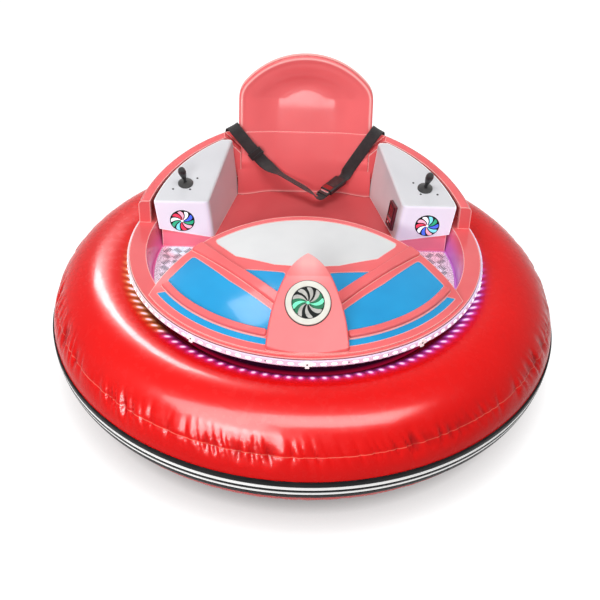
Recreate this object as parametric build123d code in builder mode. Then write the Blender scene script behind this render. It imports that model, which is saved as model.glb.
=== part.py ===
from build123d import *
from math import atan2, cos, degrees, radians, sin, sqrt, tan
import os

# Bumper car: an inflatable ring round a moulded body on a steel frame with two drive wheels and four casters.
# Millimetres. The nose points along -Y, +Z is up, and the origin is on the floor under the centre of the ring.
os.makedirs("parts", exist_ok=True)

# Clearances shared by every fit
soft_gap = 0.3
seat_gap = 0.3
running_gap = 0.06

# Inflatable ring
overall_radius = 750.0
strip_thick = 4.0
strip_height = 66.0
strip_drop = 32.0
tube_radius = 163.0
tube_mid_z = 190.0
tube_mid_radius = overall_radius - strip_thick - tube_radius
seam_angle = 25.0
seam_size = 2.5
valve_angle = 38.0
valve_collar_radius = 17.0
valve_collar_height = 5.0
valve_cap_radius = 11.0
valve_cap_height = 7.0

# Base shell: floor, wall and rim
floor_z = 310.0
shell_wall = 5.0
rim_from_tube = 70.0
rim_radius = tube_mid_radius - rim_from_tube
rim_wide = 49.0
well_top_radius = rim_radius - rim_wide
well_draft = 14.0
well_floor_radius = well_top_radius - well_draft
rim_top_z = 400.0
rim_lip_height = 29.0
rim_round = 5.0
skirt_low_z = 293.0

# Light strip round the rim
light_strip_thick = 6.0
light_strip_height = 19.0
light_strip_z = 387.0
clip_count = 10
clip_thick = 2.5
clip_wide = 26.0
clip_tall = 25.0
clip_arm = 11.0
clip_start_angle = 270.0

# Deck: the sloping plane that the wings and the console tops share
deck_front_y = 138.0
deck_front_z = 480.0
deck_slope = 12.0

# Wings round the seat
wing_edge = 1.0
wing_outer_radius = rim_radius - wing_edge
wing_wide = 34.0
wing_inner_radius = wing_outer_radius - wing_wide
wing_front_y = 116.0
wing_wall = 8.0
shoulder_reach = 56.0
shoulder_back_y = 437.0
wing_round = 13.0

# Consoles
console_top_radius = wing_inner_radius - seat_gap
console_draft = 25.7
console_low_radius = console_top_radius - console_draft
console_front_y = 118.0
console_back_y = 398.0
console_back_low_y = 385.0
console_low_z = 350.0
console_loft_z = 560.0
console_front_low_x = 276.0
console_side_turn = 0.243
console_side_lean = 0.123
console_back_top_x = 234.0
console_bottom_slope = 9.5
console_corner = 22.0
console_round = 9.0

# Seat: pan and bucket back
pan_z = 350.0
pan_front_y = 96.0
pan_front_round = 14.0
base_radius = well_floor_radius - 2.0
crease_y = 397.0
back_recline = 17.5
back_half_width = 203.0
back_top_length = 428.0
back_arc = 248.0
back_corner = 70.0
back_wall = 9.0
back_round = 28.0
back_depth_low = 24.0
back_depth_top = 20.0
back_foot = 34.0
lip_out = 8.0
lip_thick = 9.0

# Hood: a spherical cap between the rim and a round back edge
hood_top_z = 485.0
hood_edge_in = 10.0
hood_edge_radius = rim_radius - hood_edge_in
hood_edge_z = 404.0
hood_back_radius = 468.0
hood_back_centre_y = -433.0
hood_wall = 8.0
hood_lip = 26.0
rib_rise = 9.0
panel_sink = 1.5
stripe_in = 17.0
stripe_wide = 22.0
stripe_outer_radius = hood_edge_radius - stripe_in
stripe_inner_radius = stripe_outer_radius - stripe_wide
rim_rib_wide = 26.0
panel_inner_radius = stripe_inner_radius - rim_rib_wide
stripe_end_y = -255.0
rib_end_y = -225.0
rib_margin = 3.0
panel_inset = 20.0
panel_corner = 9.0
rib_corner = 6.0
rib_edge_round = 4.0

# Nose pod
pod_face_in = 6.0
pod_base_y = pod_face_in - hood_edge_radius
pod_base_z = 410.0
pod_half_width = 110.0
pod_tip_y = -245.0
pod_tip_z = 553.0
pod_face_tilt = 40.0
pod_flat_end_y = -342.0
pod_corner = 10.0
pod_draft = 5.0
pod_edge_round = 5.0
pod_tip_round = 18.0
pod_spring = 16.0
pod_edge_inset = 2.0
pod_arc_in = 38.0
pod_arc_up = 17.0

# Lamps
nose_light_y = -398.0
bezel_radius = 59.0
bezel_thick = 6.0
nose_lens_radius = 43.0
lens_thick = 4.0
lens_sink = 2.0
console_light_radius = 36.0
console_light_x = 370.0
console_light_z = 408.0

# Joysticks
stick_x = 363.0
stick_y = 195.0
stick_lean = 13.0
boot_radius = 23.0
boot_height = 9.0
boot_edge = 2.5
boot_mid_radius = 14.0
boot_mid_height = 7.0
boot_top_radius = 8.0
stick_neck_radius = 5.0
neck_top = 9.0
flare_radius = 8.0
flare_height = 18.0
grip_low_radius = 10.6
grip_low = 28.0
stick_grip_radius = 12.0
grip_mid = 38.0
cap_radius = 10.3
cap_low = 47.0
stick_height = 55.0

# Control panel on the inner face of the right console
panel_wide = 48.0
panel_tall = 84.0
panel_thick = 9.0
panel_y = 172.0
panel_z = 408.0

# Tread plates in the footwells
tread_thick = 2.5
tread_inner_x = 277.0
tread_back_y = 112.0
tread_front_y = -205.0
tread_margin = 5.0
tread_round = 12.0

# Steel frame
hoop_tube_radius = 15.0
hoop_radius = tube_mid_radius - tube_radius - hoop_tube_radius - soft_gap
hoop_z = tube_mid_z
rail_x = 150.0
rail_wide = 40.0
rail_high = 26.0
cross_front_y = -90.0
cross_back_y = 310.0
post_size = 26.0
post_front_y = -255.0
post_side_x = 215.0
foot_plate = 56.0
foot_plate_thick = 5.0
axial_clear = 1.0

# Drive wheels and gear motors
drive_y = 60.0
drive_radius = 100.0
drive_wide = 50.0
drive_x = 230.0
drive_rim_radius = 66.0
drive_hub_radius = 24.0
drive_shaft_radius = 10.0
rim_band = 8.0
rim_web = 10.0
rim_holes = 5
rim_hole_radius = 9.0
tyre_round = 10.0
bracket_thick = 10.0
bracket_wide = 110.0
bracket_low_z = 45.0
bracket_clear = 4.0
gearbox_radius = 45.0
gearbox_long = 52.0
motor_radius = 38.0
motor_long = 86.0
motor_chamfer = 5.0
shaft_depth = 24.0

# Casters
caster_x = 205.0
caster_front_y = -235.0
caster_back_y = 262.0
caster_radius = 37.5
caster_wide = 24.0
caster_round = 6.0
caster_trail = 28.0
caster_plate_z = 104.0
caster_plate_thick = 5.0
caster_plate_wide = 74.0
caster_plate_long = 84.0
kingpin_radius = 7.0
kingpin_head = 4.0
fork_head_radius = 29.0
fork_head_thick = 9.0
fork_leg_thick = 4.0
leg_clear = 2.0
leg_foot = 20.0
leg_eye = 11.0
caster_axle_radius = 5.0

# Battery
battery_wide = 240.0
battery_long = 150.0
battery_high = 165.0
battery_round = 4.0
battery_y = 205.0
battery_z = 92.0
tray_thick = 4.0

# Seat belt
belt_wide = 38.0
belt_thick = 2.0
anchor_angle = 62.6
anchor_wide = 46.0
anchor_long = 30.0
anchor_thick = 4.0
anchor_z = 498.0
strap_low_z = 488.0
strap_high_z = 528.0
tongue_point = (56.0, 320.0, 388.0)
buckle_point = (118.0, 387.0, 404.0)
lap_run = 16.0
tongue_long = 20.0
tongue_thick = 9.0
blade_wide = 25.0
blade_thick = 2.0
blade_in = 15.0
buckle_wide = 44.0
buckle_thick = 17.0
slot_gap = 0.5
slider_wide = 47.0
slider_long = 24.0
slider_thick = 8.0
slider_share = 0.93


def deck_z(y):
    return deck_front_z + (y - deck_front_y) * tan(radians(deck_slope))


deck_normal = Vector(0, -sin(radians(deck_slope)), cos(radians(deck_slope)))


def deck_plane(drop):
    """The deck plane, lowered by drop along its normal; its local x runs along +X."""
    origin = Vector(0, deck_front_y, deck_front_z) - deck_normal * drop
    return Plane(origin=origin, x_dir=(1, 0, 0), z_dir=deck_normal)


# The sphere that the hood's skin follows
hood_sag = hood_top_z - hood_edge_z
hood_sphere = (hood_edge_radius**2 + hood_sag**2) / (2 * hood_sag)
hood_centre_z = hood_top_z - hood_sphere


def write(part, name):
    part.label = name
    export_step(part, f"parts/{name}.step")


# Inflatable ring
with BuildPart() as ring:
    with BuildSketch(Plane.XZ) as ring_section:
        with Locations((tube_mid_radius, tube_mid_z)):
            Circle(tube_radius)
        seam_out = tube_radius * cos(radians(seam_angle))
        seam_up = tube_radius * sin(radians(seam_angle))
        with Locations((tube_mid_radius + seam_out, tube_mid_z + seam_up)):
            Circle(seam_size)
    revolve(axis=Axis.Z)
write(ring.part, "inflatable_ring")

# Rub strip, a band of two arcs round the widest part of the ring
strip_centre_angle = degrees(-strip_drop / tube_radius)
strip_half_angle = degrees(strip_height / 2 / tube_radius)
with BuildPart() as strip:
    with BuildSketch(Plane.XZ) as strip_section:
        with BuildLine() as strip_lines:
            low = strip_centre_angle - strip_half_angle
            outer = CenterArc(
                (tube_mid_radius, tube_mid_z), tube_radius + strip_thick, low, 2 * strip_half_angle
            )
            inner = CenterArc(
                (tube_mid_radius, tube_mid_z), tube_radius + soft_gap, low, 2 * strip_half_angle
            )
            Line(outer @ 0, inner @ 0)
            Line(outer @ 1, inner @ 1)
        make_face()
    revolve(axis=Axis.Z)
write(strip.part, "rub_strip")

# Inflation valve: a collar and a cap on the back of the ring
valve_dir = Vector(0, cos(radians(valve_angle)), sin(radians(valve_angle)))
valve_foot = Vector(0, tube_mid_radius, tube_mid_z) + valve_dir * (tube_radius + soft_gap)
valve_plane = Plane(origin=valve_foot, x_dir=(1, 0, 0), z_dir=valve_dir)
with BuildPart() as valve:
    with BuildSketch(valve_plane):
        Circle(valve_collar_radius)
    extrude(amount=valve_collar_height)
    with BuildSketch(valve_plane.offset(valve_collar_height)):
        Circle(valve_cap_radius)
    extrude(amount=valve_cap_height)
    chamfer(valve.faces().sort_by(Axis(valve_foot, valve_dir))[-1].edges(), length=1.5)
write(valve.part, "inflation_valve")

# Base shell: floor, slanted well wall, rim and hanging lip, one wall thickness all round
with BuildPart() as base:
    with BuildSketch(Plane.XZ) as base_section:
        with BuildLine() as base_lines:
            Polyline(
                (0, floor_z),
                (well_floor_radius, floor_z),
                (well_floor_radius, skirt_low_z),
                (well_floor_radius + shell_wall, skirt_low_z),
                (well_floor_radius + shell_wall, floor_z),
                (well_top_radius + shell_wall, rim_top_z - shell_wall),
                (rim_radius - shell_wall, rim_top_z - shell_wall),
                (rim_radius - shell_wall, rim_top_z - rim_lip_height),
                (rim_radius, rim_top_z - rim_lip_height),
                (rim_radius, rim_top_z),
                (well_top_radius, rim_top_z),
                (well_floor_radius, floor_z + shell_wall),
                (0, floor_z + shell_wall),
                close=True,
            )
        make_face()
        rim_corner = base_section.vertices().filter_by(
            lambda v: abs(v.X - rim_radius) < 0.1 and abs(v.Z - rim_top_z) < 0.1
        )
        fillet(rim_corner, radius=rim_round)
    revolve(axis=Axis.Z)
write(base.part, "base_shell")

# Light strip on the rim's edge
with BuildPart() as light_strip:
    with BuildSketch(Plane.XZ) as light_section:
        with Locations((rim_radius + seat_gap + light_strip_thick / 2, light_strip_z)):
            RectangleRounded(light_strip_thick, light_strip_height, light_strip_thick / 2 - 0.5)
    revolve(axis=Axis.Z)
write(light_strip.part, "led_strip")

# Clips that hold the light strip, plus-shaped
clip_radius = rim_radius + 2 * seat_gap + light_strip_thick
with BuildPart() as clips:
    for index in range(clip_count):
        angle = clip_start_angle + index * 360 / clip_count
        direction = Vector(cos(radians(angle)), sin(radians(angle)), 0)
        clip_plane = Plane(
            origin=direction * clip_radius + Vector(0, 0, light_strip_z),
            x_dir=(-direction.Y, direction.X, 0),
            z_dir=direction,
        )
        with BuildSketch(clip_plane):
            Rectangle(clip_wide, clip_arm)
            Rectangle(clip_arm, clip_tall)
        extrude(amount=clip_thick)
write(clips.part, "led_clips")

# Hood: a spherical skin with a return lip, raised ribs and shallow panels
pod_spring_y = pod_base_y + pod_spring
pod_rise = pod_tip_y - pod_spring_y
pod_arc = (pod_half_width**2 + pod_rise**2) / (2 * pod_half_width)


def pod_outline(grow):
    """The pod's pointed arch in plan, grown by the given amount, with round corners, on the rim's level."""
    with BuildSketch(Plane.XY.offset(rim_top_z)) as arch:
        with Locations((pod_half_width - pod_arc, pod_spring_y)):
            Circle(pod_arc + grow)
        with Locations((pod_arc - pod_half_width, pod_spring_y)):
            Circle(pod_arc + grow, mode=Mode.INTERSECT)
        Circle(hood_edge_radius - pod_edge_inset + grow, mode=Mode.INTERSECT)
        fillet(arch.vertices().sort_by(Axis.Y)[-1], radius=pod_tip_round)
        fillet(arch.vertices().sort_by(Axis.Y)[:2], radius=pod_corner)
    return arch.sketch


def hood_outline(inset):
    """The hood's plan, a round rim cut by the round back edge, moved inwards by inset."""
    with BuildSketch(Plane.XY.offset(rim_top_z)) as plan:
        Circle(hood_edge_radius - inset)
        with Locations((0, hood_back_centre_y)):
            Circle(hood_back_radius - inset, mode=Mode.INTERSECT)
    return plan.sketch


def dome(rise):
    """A ball that follows the hood's skin, raised by the given amount."""
    return Pos(0, 0, hood_centre_z) * Sphere(hood_sphere + rise, mode=Mode.PRIVATE)


# Plan of the ribs and panels, left side: corner points as (x, y), mirrored for the right side
rib_plan = {
    "side rib": [(-325, -40), (-204, -183), (-56, -328), (-66, -366), (-216, -210), (-365, -60)],
}
panel_plan = {
    "back panel": [(0, 60), (-300, 60), (-252, -85), (-198, -149), (-90, -193), (0, -205)],
    "corner panel": [(-204, -203), (-148, -255), (-60, -310), (-60, -226)],
    "side panel": [(-318, -128), (-390, -222), (-390, -430), (-80, -440), (-80, -375), (-155, -301), (-212, -247)],
}
pod_foot = pod_outline(0)
pod_clear = pod_outline(seat_gap)
pod_overlap = pod_outline(-panel_inset)
hood_plan = hood_outline(0)
hood_inner_plan = hood_outline(hood_wall)
hood_panel_plan = hood_outline(panel_inset)
hood_rib_plan = hood_outline(rib_margin)

with BuildSketch(Plane.XY.offset(rim_top_z)) as panels:
    for points in panel_plan.values():
        with BuildLine():
            Polyline(*points, close=True)
        make_face()
    mirror(about=Plane.YZ)
    Circle(panel_inner_radius, mode=Mode.INTERSECT)
    add(hood_panel_plan, mode=Mode.INTERSECT)
    fillet(panels.vertices(), radius=panel_corner)
with BuildSketch(Plane.XY.offset(rim_top_z)) as stripes:
    Circle(stripe_outer_radius)
    Circle(stripe_inner_radius, mode=Mode.SUBTRACT)
    with Locations((0, stripe_end_y)):
        Rectangle(4 * rim_radius, 2 * rim_radius, align=(Align.CENTER, Align.MIN), mode=Mode.SUBTRACT)
with BuildSketch(Plane.XY.offset(rim_top_z)) as rim_rib:
    Circle(stripe_inner_radius - rib_margin)
    Circle(panel_inner_radius + rib_margin, mode=Mode.SUBTRACT)
    with Locations((0, rib_end_y)):
        Rectangle(4 * rim_radius, 2 * rim_radius, align=(Align.CENTER, Align.MIN), mode=Mode.SUBTRACT)
with BuildSketch(Plane.XY.offset(rim_top_z)) as ribs:
    for points in rib_plan.values():
        with BuildLine():
            Polyline(*points, close=True)
        make_face()
    mirror(about=Plane.YZ)
    add(rim_rib.sketch)
    add(hood_rib_plan, mode=Mode.INTERSECT)
    add(pod_clear, mode=Mode.SUBTRACT)
    fillet(ribs.vertices(), radius=rib_corner)

with BuildPart() as hood_ribs:
    add(ribs.sketch)
    extrude(amount=hood_top_z)
    add(dome(rib_rise), mode=Mode.INTERSECT)
    rib_tops = hood_ribs.faces().filter_by(GeomType.SPHERE)
    fillet(rib_tops.edges(), radius=rib_edge_round)
with BuildPart() as hood_hollow:
    add(hood_inner_plan)
    extrude(amount=hood_top_z)
    add(dome(-hood_wall), mode=Mode.INTERSECT)
with BuildPart() as hood_under:
    with BuildSketch(Plane.XY.offset(rim_top_z - hood_wall)):
        Circle(rim_radius)
    extrude(amount=hood_top_z)
    add(Pos(0, 0, -hood_lip) * dome(0), mode=Mode.INTERSECT)
with BuildPart() as hood_panels:
    with BuildSketch(Plane.XY.offset(rim_top_z)):
        add(panels.sketch)
        add(stripes.sketch)
        add(hood_panel_plan, mode=Mode.INTERSECT)
        add(pod_overlap, mode=Mode.SUBTRACT)
    extrude(amount=hood_top_z)
    add(dome(-panel_sink), mode=Mode.SUBTRACT)
with BuildPart() as hood:
    add(hood_plan)
    extrude(amount=hood_top_z)
    add(dome(0), mode=Mode.INTERSECT)
    add(hood_panels.part, mode=Mode.SUBTRACT)
    add(hood_ribs.part)
    add(hood_hollow.part, mode=Mode.SUBTRACT)
    add(hood_under.part, mode=Mode.SUBTRACT)
write(hood.part, "hood")

# Nose pod: a pointed arch with a flat sloping face for the lamp, seated on the hood's skin
pod_slope = tan(radians(pod_face_tilt))
pod_flat_end_z = pod_base_z + (pod_flat_end_y - pod_base_y) * pod_slope
with BuildPart() as pod:
    add(pod_foot)
    extrude(amount=hood_top_z - rim_top_z + pod_half_width, taper=pod_draft)
    with BuildSketch(Plane.YZ) as pod_side:
        with BuildLine():
            face_low = (pod_base_y - pod_spring, pod_base_z - pod_spring * pod_slope)
            flat_end = (pod_flat_end_y, pod_flat_end_z)
            tip = (pod_tip_y + pod_tip_round, pod_tip_z)
            low_back = (pod_tip_y + pod_tip_round, rim_top_z - hood_lip)
            low_front = (pod_base_y - pod_spring, rim_top_z - hood_lip)
            ThreePointArc(flat_end, (flat_end[0] + pod_arc_in, flat_end[1] + pod_arc_up), tip)
            Polyline(tip, low_back, low_front, face_low, flat_end)
        make_face()
    extrude(amount=2 * pod_half_width, both=True, mode=Mode.INTERSECT)
    pod_top = pod.faces().filter_by(lambda f: f.normal_at(f.center()).Z > 0.3)
    pod_rim = [edge for edge in pod_top.edges() if sum(edge.is_same(e) for f in pod_top for e in f.edges()) == 1]
    fillet(pod_rim, radius=pod_edge_round)
    add(dome(seat_gap), mode=Mode.SUBTRACT)
write(pod.part, "nose_pod")

# Lamp in the nose pod: a bezel ring and a lens inside it, both on the sloping face
pod_normal = Vector(0, -sin(radians(pod_face_tilt)), cos(radians(pod_face_tilt)))
nose_light_z = pod_base_z + (nose_light_y - pod_base_y) * pod_slope
nose_plane = Plane(origin=(0, nose_light_y, nose_light_z), x_dir=(1, 0, 0), z_dir=pod_normal)
with BuildPart() as bezel:
    with BuildSketch(nose_plane.offset(seat_gap)):
        Circle(bezel_radius)
        Circle(nose_lens_radius, mode=Mode.SUBTRACT)
    extrude(amount=bezel_thick)
    fillet(bezel.faces().sort_by(Axis(nose_plane.origin, pod_normal))[-1].edges(), radius=bezel_thick / 3)
write(bezel.part, "nose_light_bezel")
with BuildPart() as nose_lens:
    with BuildSketch(nose_plane.offset(seat_gap)):
        Circle(nose_lens_radius - seat_gap)
    extrude(amount=lens_thick)
write(nose_lens.part, "nose_light_lens")

# Seat back: a tray with rounded rear edges, open to the front, and a rolled lip round its front edge
recline = radians(back_recline)
back_plane = Plane(
    origin=(0, crease_y, pan_z), x_dir=(1, 0, 0), z_dir=(0, -cos(recline), sin(recline))
)


def back_outline(plane, grow, top):
    """The seat back's outline in its own plane: straight sides, a round top and soft corners."""
    half = back_half_width + grow
    corner = back_corner + grow
    arc_radius = back_arc + grow
    side_top = top - back_arc + sqrt(arc_radius**2 - half**2)
    with BuildSketch(plane) as outline:
        with BuildLine():
            Polyline((-half, side_top), (-half, -back_foot), (half, -back_foot), (half, side_top))
            ThreePointArc((half, side_top), (0, top + grow), (-half, side_top))
        make_face()
        corners = outline.vertices().sort_by(Axis.Y)[-2:]
        fillet(corners, radius=corner)
    return outline.sketch


# Rounding of the tray's rear edge, as steps round a quarter circle: (share of depth, share of inset)
rear_steps = [(sin(radians(a)), 1 - cos(radians(a))) for a in (90, 60, 30, 0)]


def back_tray(rear, grow, rounding, front):
    """A block with the back's outline from the rear depth to the front one, its rear edge rounded."""
    levels = [(rear + rounding * (1 - deep), rounding * inset) for deep, inset in rear_steps]
    sections = [back_outline(back_plane.offset(z), grow - inset, back_top_length) for z, inset in levels]
    with BuildPart() as tray:
        for section in sections:
            add(section)
        loft(ruled=True)
        add(sections[-1])
        extrude(amount=front - levels[-1][0])
    return tray.part


front_tilt = atan2(back_depth_low - back_depth_top, back_top_length)
lip_normal = back_plane.z_dir * cos(front_tilt) + back_plane.y_dir * sin(front_tilt)
lip_plane = Plane(
    origin=back_plane.origin + back_plane.z_dir * back_depth_low, x_dir=(1, 0, 0), z_dir=lip_normal
)
outer_tray = back_tray(-back_wall, 0, back_round, back_depth_low + lip_thick)
inner_tray = back_tray(0, -back_wall, back_round - back_wall, 4 * back_depth_low)
clear_tray = back_tray(-back_wall - seat_gap, seat_gap, back_round, 14 * back_depth_low)
lip_outer = back_outline(lip_plane.offset(-lip_thick), lip_out, back_top_length / cos(front_tilt))
lip_inner = back_outline(lip_plane.offset(-lip_thick), -back_wall, back_top_length / cos(front_tilt))
with BuildPart() as lip:
    add(lip_outer)
    extrude(amount=lip_thick)
    add(lip_inner)
    extrude(amount=lip_thick, mode=Mode.SUBTRACT)
    split(bisect_by=deck_plane(-seat_gap), keep=Keep.TOP)

# Consoles: the right one, lofted between its foot and its top, cut by the deck and mirrored
bottom_slope = tan(radians(console_bottom_slope))
foot_plane = Plane(
    origin=(console_front_low_x, 0, console_low_z),
    x_dir=(cos(radians(console_bottom_slope)), 0, sin(radians(console_bottom_slope))),
    z_dir=(-sin(radians(console_bottom_slope)), 0, cos(radians(console_bottom_slope))),
)


def side_x(y, z):
    """Where the right console's flat inner side stands at the given place."""
    return console_front_low_x - console_side_turn * (y - console_front_y) + console_side_lean * (z - console_low_z)


side_plane = Plane(
    origin=(console_front_low_x, console_front_y, console_low_z),
    x_dir=(-console_side_turn, 1, 0),
    z_dir=(1, console_side_turn, -console_side_lean),
)
front_plane = Plane(origin=(0, console_front_y, 0), x_dir=(-1, 0, 0), z_dir=(0, 1, 0))
back_rise = console_loft_z - console_low_z
rear_plane = Plane(
    origin=(0, console_back_low_y, console_low_z),
    x_dir=(1, 0, 0),
    z_dir=(0, -back_rise, console_back_y - console_back_low_y),
)
with BuildPart() as console:
    with BuildSketch(Plane.XZ):
        Polygon(
            (0, console_low_z), (console_low_radius, console_low_z), (console_top_radius, console_loft_z),
            (0, console_loft_z), align=None,
        )
    revolve(axis=Axis.Z)
    split(bisect_by=deck_plane(0), keep=Keep.BOTTOM)
    for cutting_plane in (side_plane, front_plane, rear_plane, foot_plane):
        split(bisect_by=cutting_plane, keep=Keep.TOP)
    front_corner = console.edges().filter_by(GeomType.LINE).filter_by(
        lambda e: e.length > back_rise / 3 and abs(e.center().Y - console_front_y) < 1
        and abs(e.center().X - side_x(console_front_y, e.center().Z)) < 1
    )
    fillet(front_corner, radius=console_corner)
    console_top = console.faces().filter_by(GeomType.PLANE).sort_by(Axis.Z)[-1]
    fillet(
        console_top.edges().filter_by(
            lambda e: e.center().Y < console_front_y + 1 or e.center().X < side_x(e.center().Y, e.center().Z) + 8
        ).filter_by(lambda e: e.center().Y < console_back_y - console_corner),
        radius=console_round,
    )

# Lamp seats: shallow round recesses in the consoles' front faces, and the lenses in them
light_plane = Plane(
    origin=(console_light_x, console_front_y, console_light_z), x_dir=(1, 0, 0), z_dir=(0, -1, 0)
)
with BuildPart() as console_right:
    add(console.part)
    with BuildSketch(light_plane):
        Circle(console_light_radius + seat_gap)
    extrude(amount=-lens_sink, mode=Mode.SUBTRACT)
with BuildPart() as console_lights:
    with BuildSketch(light_plane.offset(seat_gap - lens_sink)):
        Circle(console_light_radius)
    extrude(amount=lens_thick)
    fillet(console_lights.faces().sort_by(Axis.Y)[0].edges(), radius=lens_thick / 3)
    mirror(about=Plane.YZ)
console_left = mirror(console_right.part, about=Plane.YZ)
write(console_right.part, "console_right")
write(console_left, "console_left")
write(console_lights.part, "console_lights")

# Seat: pan, plinths under the consoles and bucket back, one moulding
base_low_z = floor_z + shell_wall + seat_gap
pan_front_half = console_front_low_x - console_corner
with BuildPart() as seat:
    with BuildSketch(Plane.XZ) as base_profile:
        with BuildLine():
            pan_top = console_low_z - seat_gap
            edge_top = pan_top + (base_radius - console_front_low_x) * bottom_slope
            Polyline(
                (-base_radius, base_low_z),
                (base_radius, base_low_z),
                (base_radius, edge_top),
                (console_front_low_x, pan_top),
                (-console_front_low_x, pan_top),
                (-base_radius, edge_top),
                close=True,
            )
        make_face()
    extrude(amount=-base_radius)
    with BuildSketch(Plane.XY.offset(base_low_z)) as base_plan:
        Circle(base_radius)
        with Locations((0, console_front_y)):
            Rectangle(4 * base_radius, 2 * base_radius, align=(Align.CENTER, Align.MAX), mode=Mode.SUBTRACT)
        with Locations((0, pan_front_y)):
            Rectangle(2 * pan_front_half, console_front_y - pan_front_y, align=(Align.CENTER, Align.MIN))
    extrude(amount=rim_top_z - base_low_z, mode=Mode.INTERSECT)
    pan_nose = seat.edges().filter_by(Axis.X).group_by(Axis.Y)[0].sort_by(Axis.Z)[-1]
    fillet(pan_nose, radius=pan_front_round)
    with BuildSketch(Plane.XY.offset(base_low_z)):
        with Locations((0, console_back_low_y)):
            Rectangle(2 * back_half_width, base_radius, align=(Align.CENTER, Align.MIN))
    extrude(amount=rim_top_z - base_low_z, mode=Mode.SUBTRACT)
    with BuildPart(mode=Mode.PRIVATE) as back_above:
        add(outer_tray)
        add(inner_tray, mode=Mode.SUBTRACT)
        split(bisect_by=lip_plane, keep=Keep.BOTTOM)
        add(lip.part)
        split(bisect_by=Plane.XY.offset(base_low_z), keep=Keep.TOP)
    add(back_above.part)
    with BuildSketch(Plane.XY.offset(base_low_z)):
        with Locations((0, console_back_low_y)):
            Rectangle(2 * (back_half_width - back_wall), back_foot, align=(Align.CENTER, Align.MIN))
    extrude(amount=pan_top - base_low_z)
    with BuildSketch(Plane.XZ):
        with BuildLine():
            Polyline(
                (well_floor_radius - 2 * seat_gap, floor_z + shell_wall),
                (well_top_radius - 2 * seat_gap, rim_top_z),
                (well_top_radius - 2 * seat_gap, rim_top_z + seat_gap),
                (rim_radius, rim_top_z + seat_gap),
                (rim_radius, floor_z + shell_wall),
                close=True,
            )
        make_face()
    revolve(axis=Axis.Z, mode=Mode.SUBTRACT)
write(seat.part, "seat_shell")

# Wings: a hollow channel round the seat with an end wall at each front end, its top along the deck
wing_low_z = rim_top_z + seat_gap
shoulder_x = back_half_width + shoulder_reach + wing_wall


def wing_body(inset, front_y):
    """The wings' block, moved inwards by inset on its outer, top and front faces."""
    with BuildPart() as block:
        with BuildSketch(Plane.XY.offset(wing_low_z)):
            Circle(wing_outer_radius - inset)
            Circle(wing_inner_radius, mode=Mode.SUBTRACT)
            with Locations((0, console_back_y + seat_gap)):
                Rectangle(2 * console_back_top_x + 20, wing_inner_radius / 4, align=(Align.CENTER, Align.MIN))
            Circle(wing_outer_radius - inset, mode=Mode.INTERSECT)
            with Locations((0, front_y)):
                Rectangle(4 * rim_radius, 4 * rim_radius, align=(Align.CENTER, Align.MAX), mode=Mode.SUBTRACT)
            if inset:
                with Locations((0, console_back_y)):
                    Rectangle(2 * shoulder_x, wing_inner_radius / 8, align=(Align.CENTER, Align.MIN), mode=Mode.SUBTRACT)
        extrude(amount=hood_top_z)
        split(bisect_by=deck_plane(inset), keep=Keep.BOTTOM)
    return block.part


wing_block = wing_body(0, wing_front_y)
wing_hollow = wing_body(wing_wall, wing_front_y + wing_wall)
with BuildPart() as wings:
    add(wing_block)
    outer_edge = wings.edges().filter_by(GeomType.ELLIPSE).sort_by(SortBy.LENGTH)[-1]
    fillet(outer_edge, radius=wing_round)
    add(Pos(0, 0, -seat_gap) * wing_hollow, mode=Mode.SUBTRACT)
    add(clear_tray, mode=Mode.SUBTRACT)
    with BuildSketch(Plane.XZ.offset(-shoulder_back_y)):
        with BuildLine():
            shoulder_top = deck_z(shoulder_back_y)
            inner_x = back_half_width
            Polyline(
                (inner_x, shoulder_top - shoulder_reach),
                (inner_x + 2 * shoulder_reach, shoulder_top + shoulder_reach),
                (-inner_x - 2 * shoulder_reach, shoulder_top + shoulder_reach),
                (-inner_x, shoulder_top - shoulder_reach),
                close=True,
            )
        make_face()
    extrude(amount=shoulder_back_y - console_back_y, mode=Mode.SUBTRACT)
write(wings.part, "wing_surround")

# Joysticks: a low rubber boot on the deck and a bulb-headed lever leaning outwards from it
with BuildPart() as boot_shape:
    with BuildSketch(Plane.XZ):
        with BuildLine():
            Polyline((0, boot_height), (0, 0), (boot_radius, 0), (boot_radius, boot_edge))
            ThreePointArc((boot_radius, boot_edge), (boot_mid_radius, boot_mid_height),
                          (boot_top_radius, boot_height))
            Line((boot_top_radius, boot_height), (0, boot_height))
        make_face()
    revolve(axis=Axis.Z)
with BuildPart() as stick_shape:
    with BuildSketch(Plane.XZ):
        with BuildLine():
            foot = seat_gap + stick_neck_radius * sin(radians(stick_lean))
            Polyline((0, foot), (stick_neck_radius, foot), (stick_neck_radius, neck_top))
            ThreePointArc((stick_neck_radius, neck_top), (flare_radius, flare_height), (grip_low_radius, grip_low))
            ThreePointArc((grip_low_radius, grip_low), (stick_grip_radius, grip_mid), (cap_radius, cap_low))
            cap_height = stick_height - cap_low
            cap_arc = (cap_radius**2 + cap_height**2) / (2 * cap_height)
            cap_angle = atan2(cap_radius, cap_arc - cap_height) / 2
            ThreePointArc(
                (cap_radius, cap_low),
                (cap_arc * sin(cap_angle), stick_height - cap_arc + cap_arc * cos(cap_angle)),
                (0, stick_height),
            )
            Line((0, stick_height), (0, foot))
        make_face()
    revolve(axis=Axis.Z)
boots = Part()
levers = Part()
for side in (-1, 1):
    stick_plane = Plane(
        origin=Vector(side * stick_x, stick_y, deck_z(stick_y)) + deck_normal * seat_gap,
        x_dir=(1, 0, 0),
        z_dir=deck_normal,
    )
    lean = Location((0, 0, boot_height), (0, side * stick_lean, 0))
    boots += stick_plane.location * boot_shape.part
    levers += stick_plane.location * lean * stick_shape.part
write(boots, "joystick_boots")
write(levers, "joystick_levers")

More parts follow.
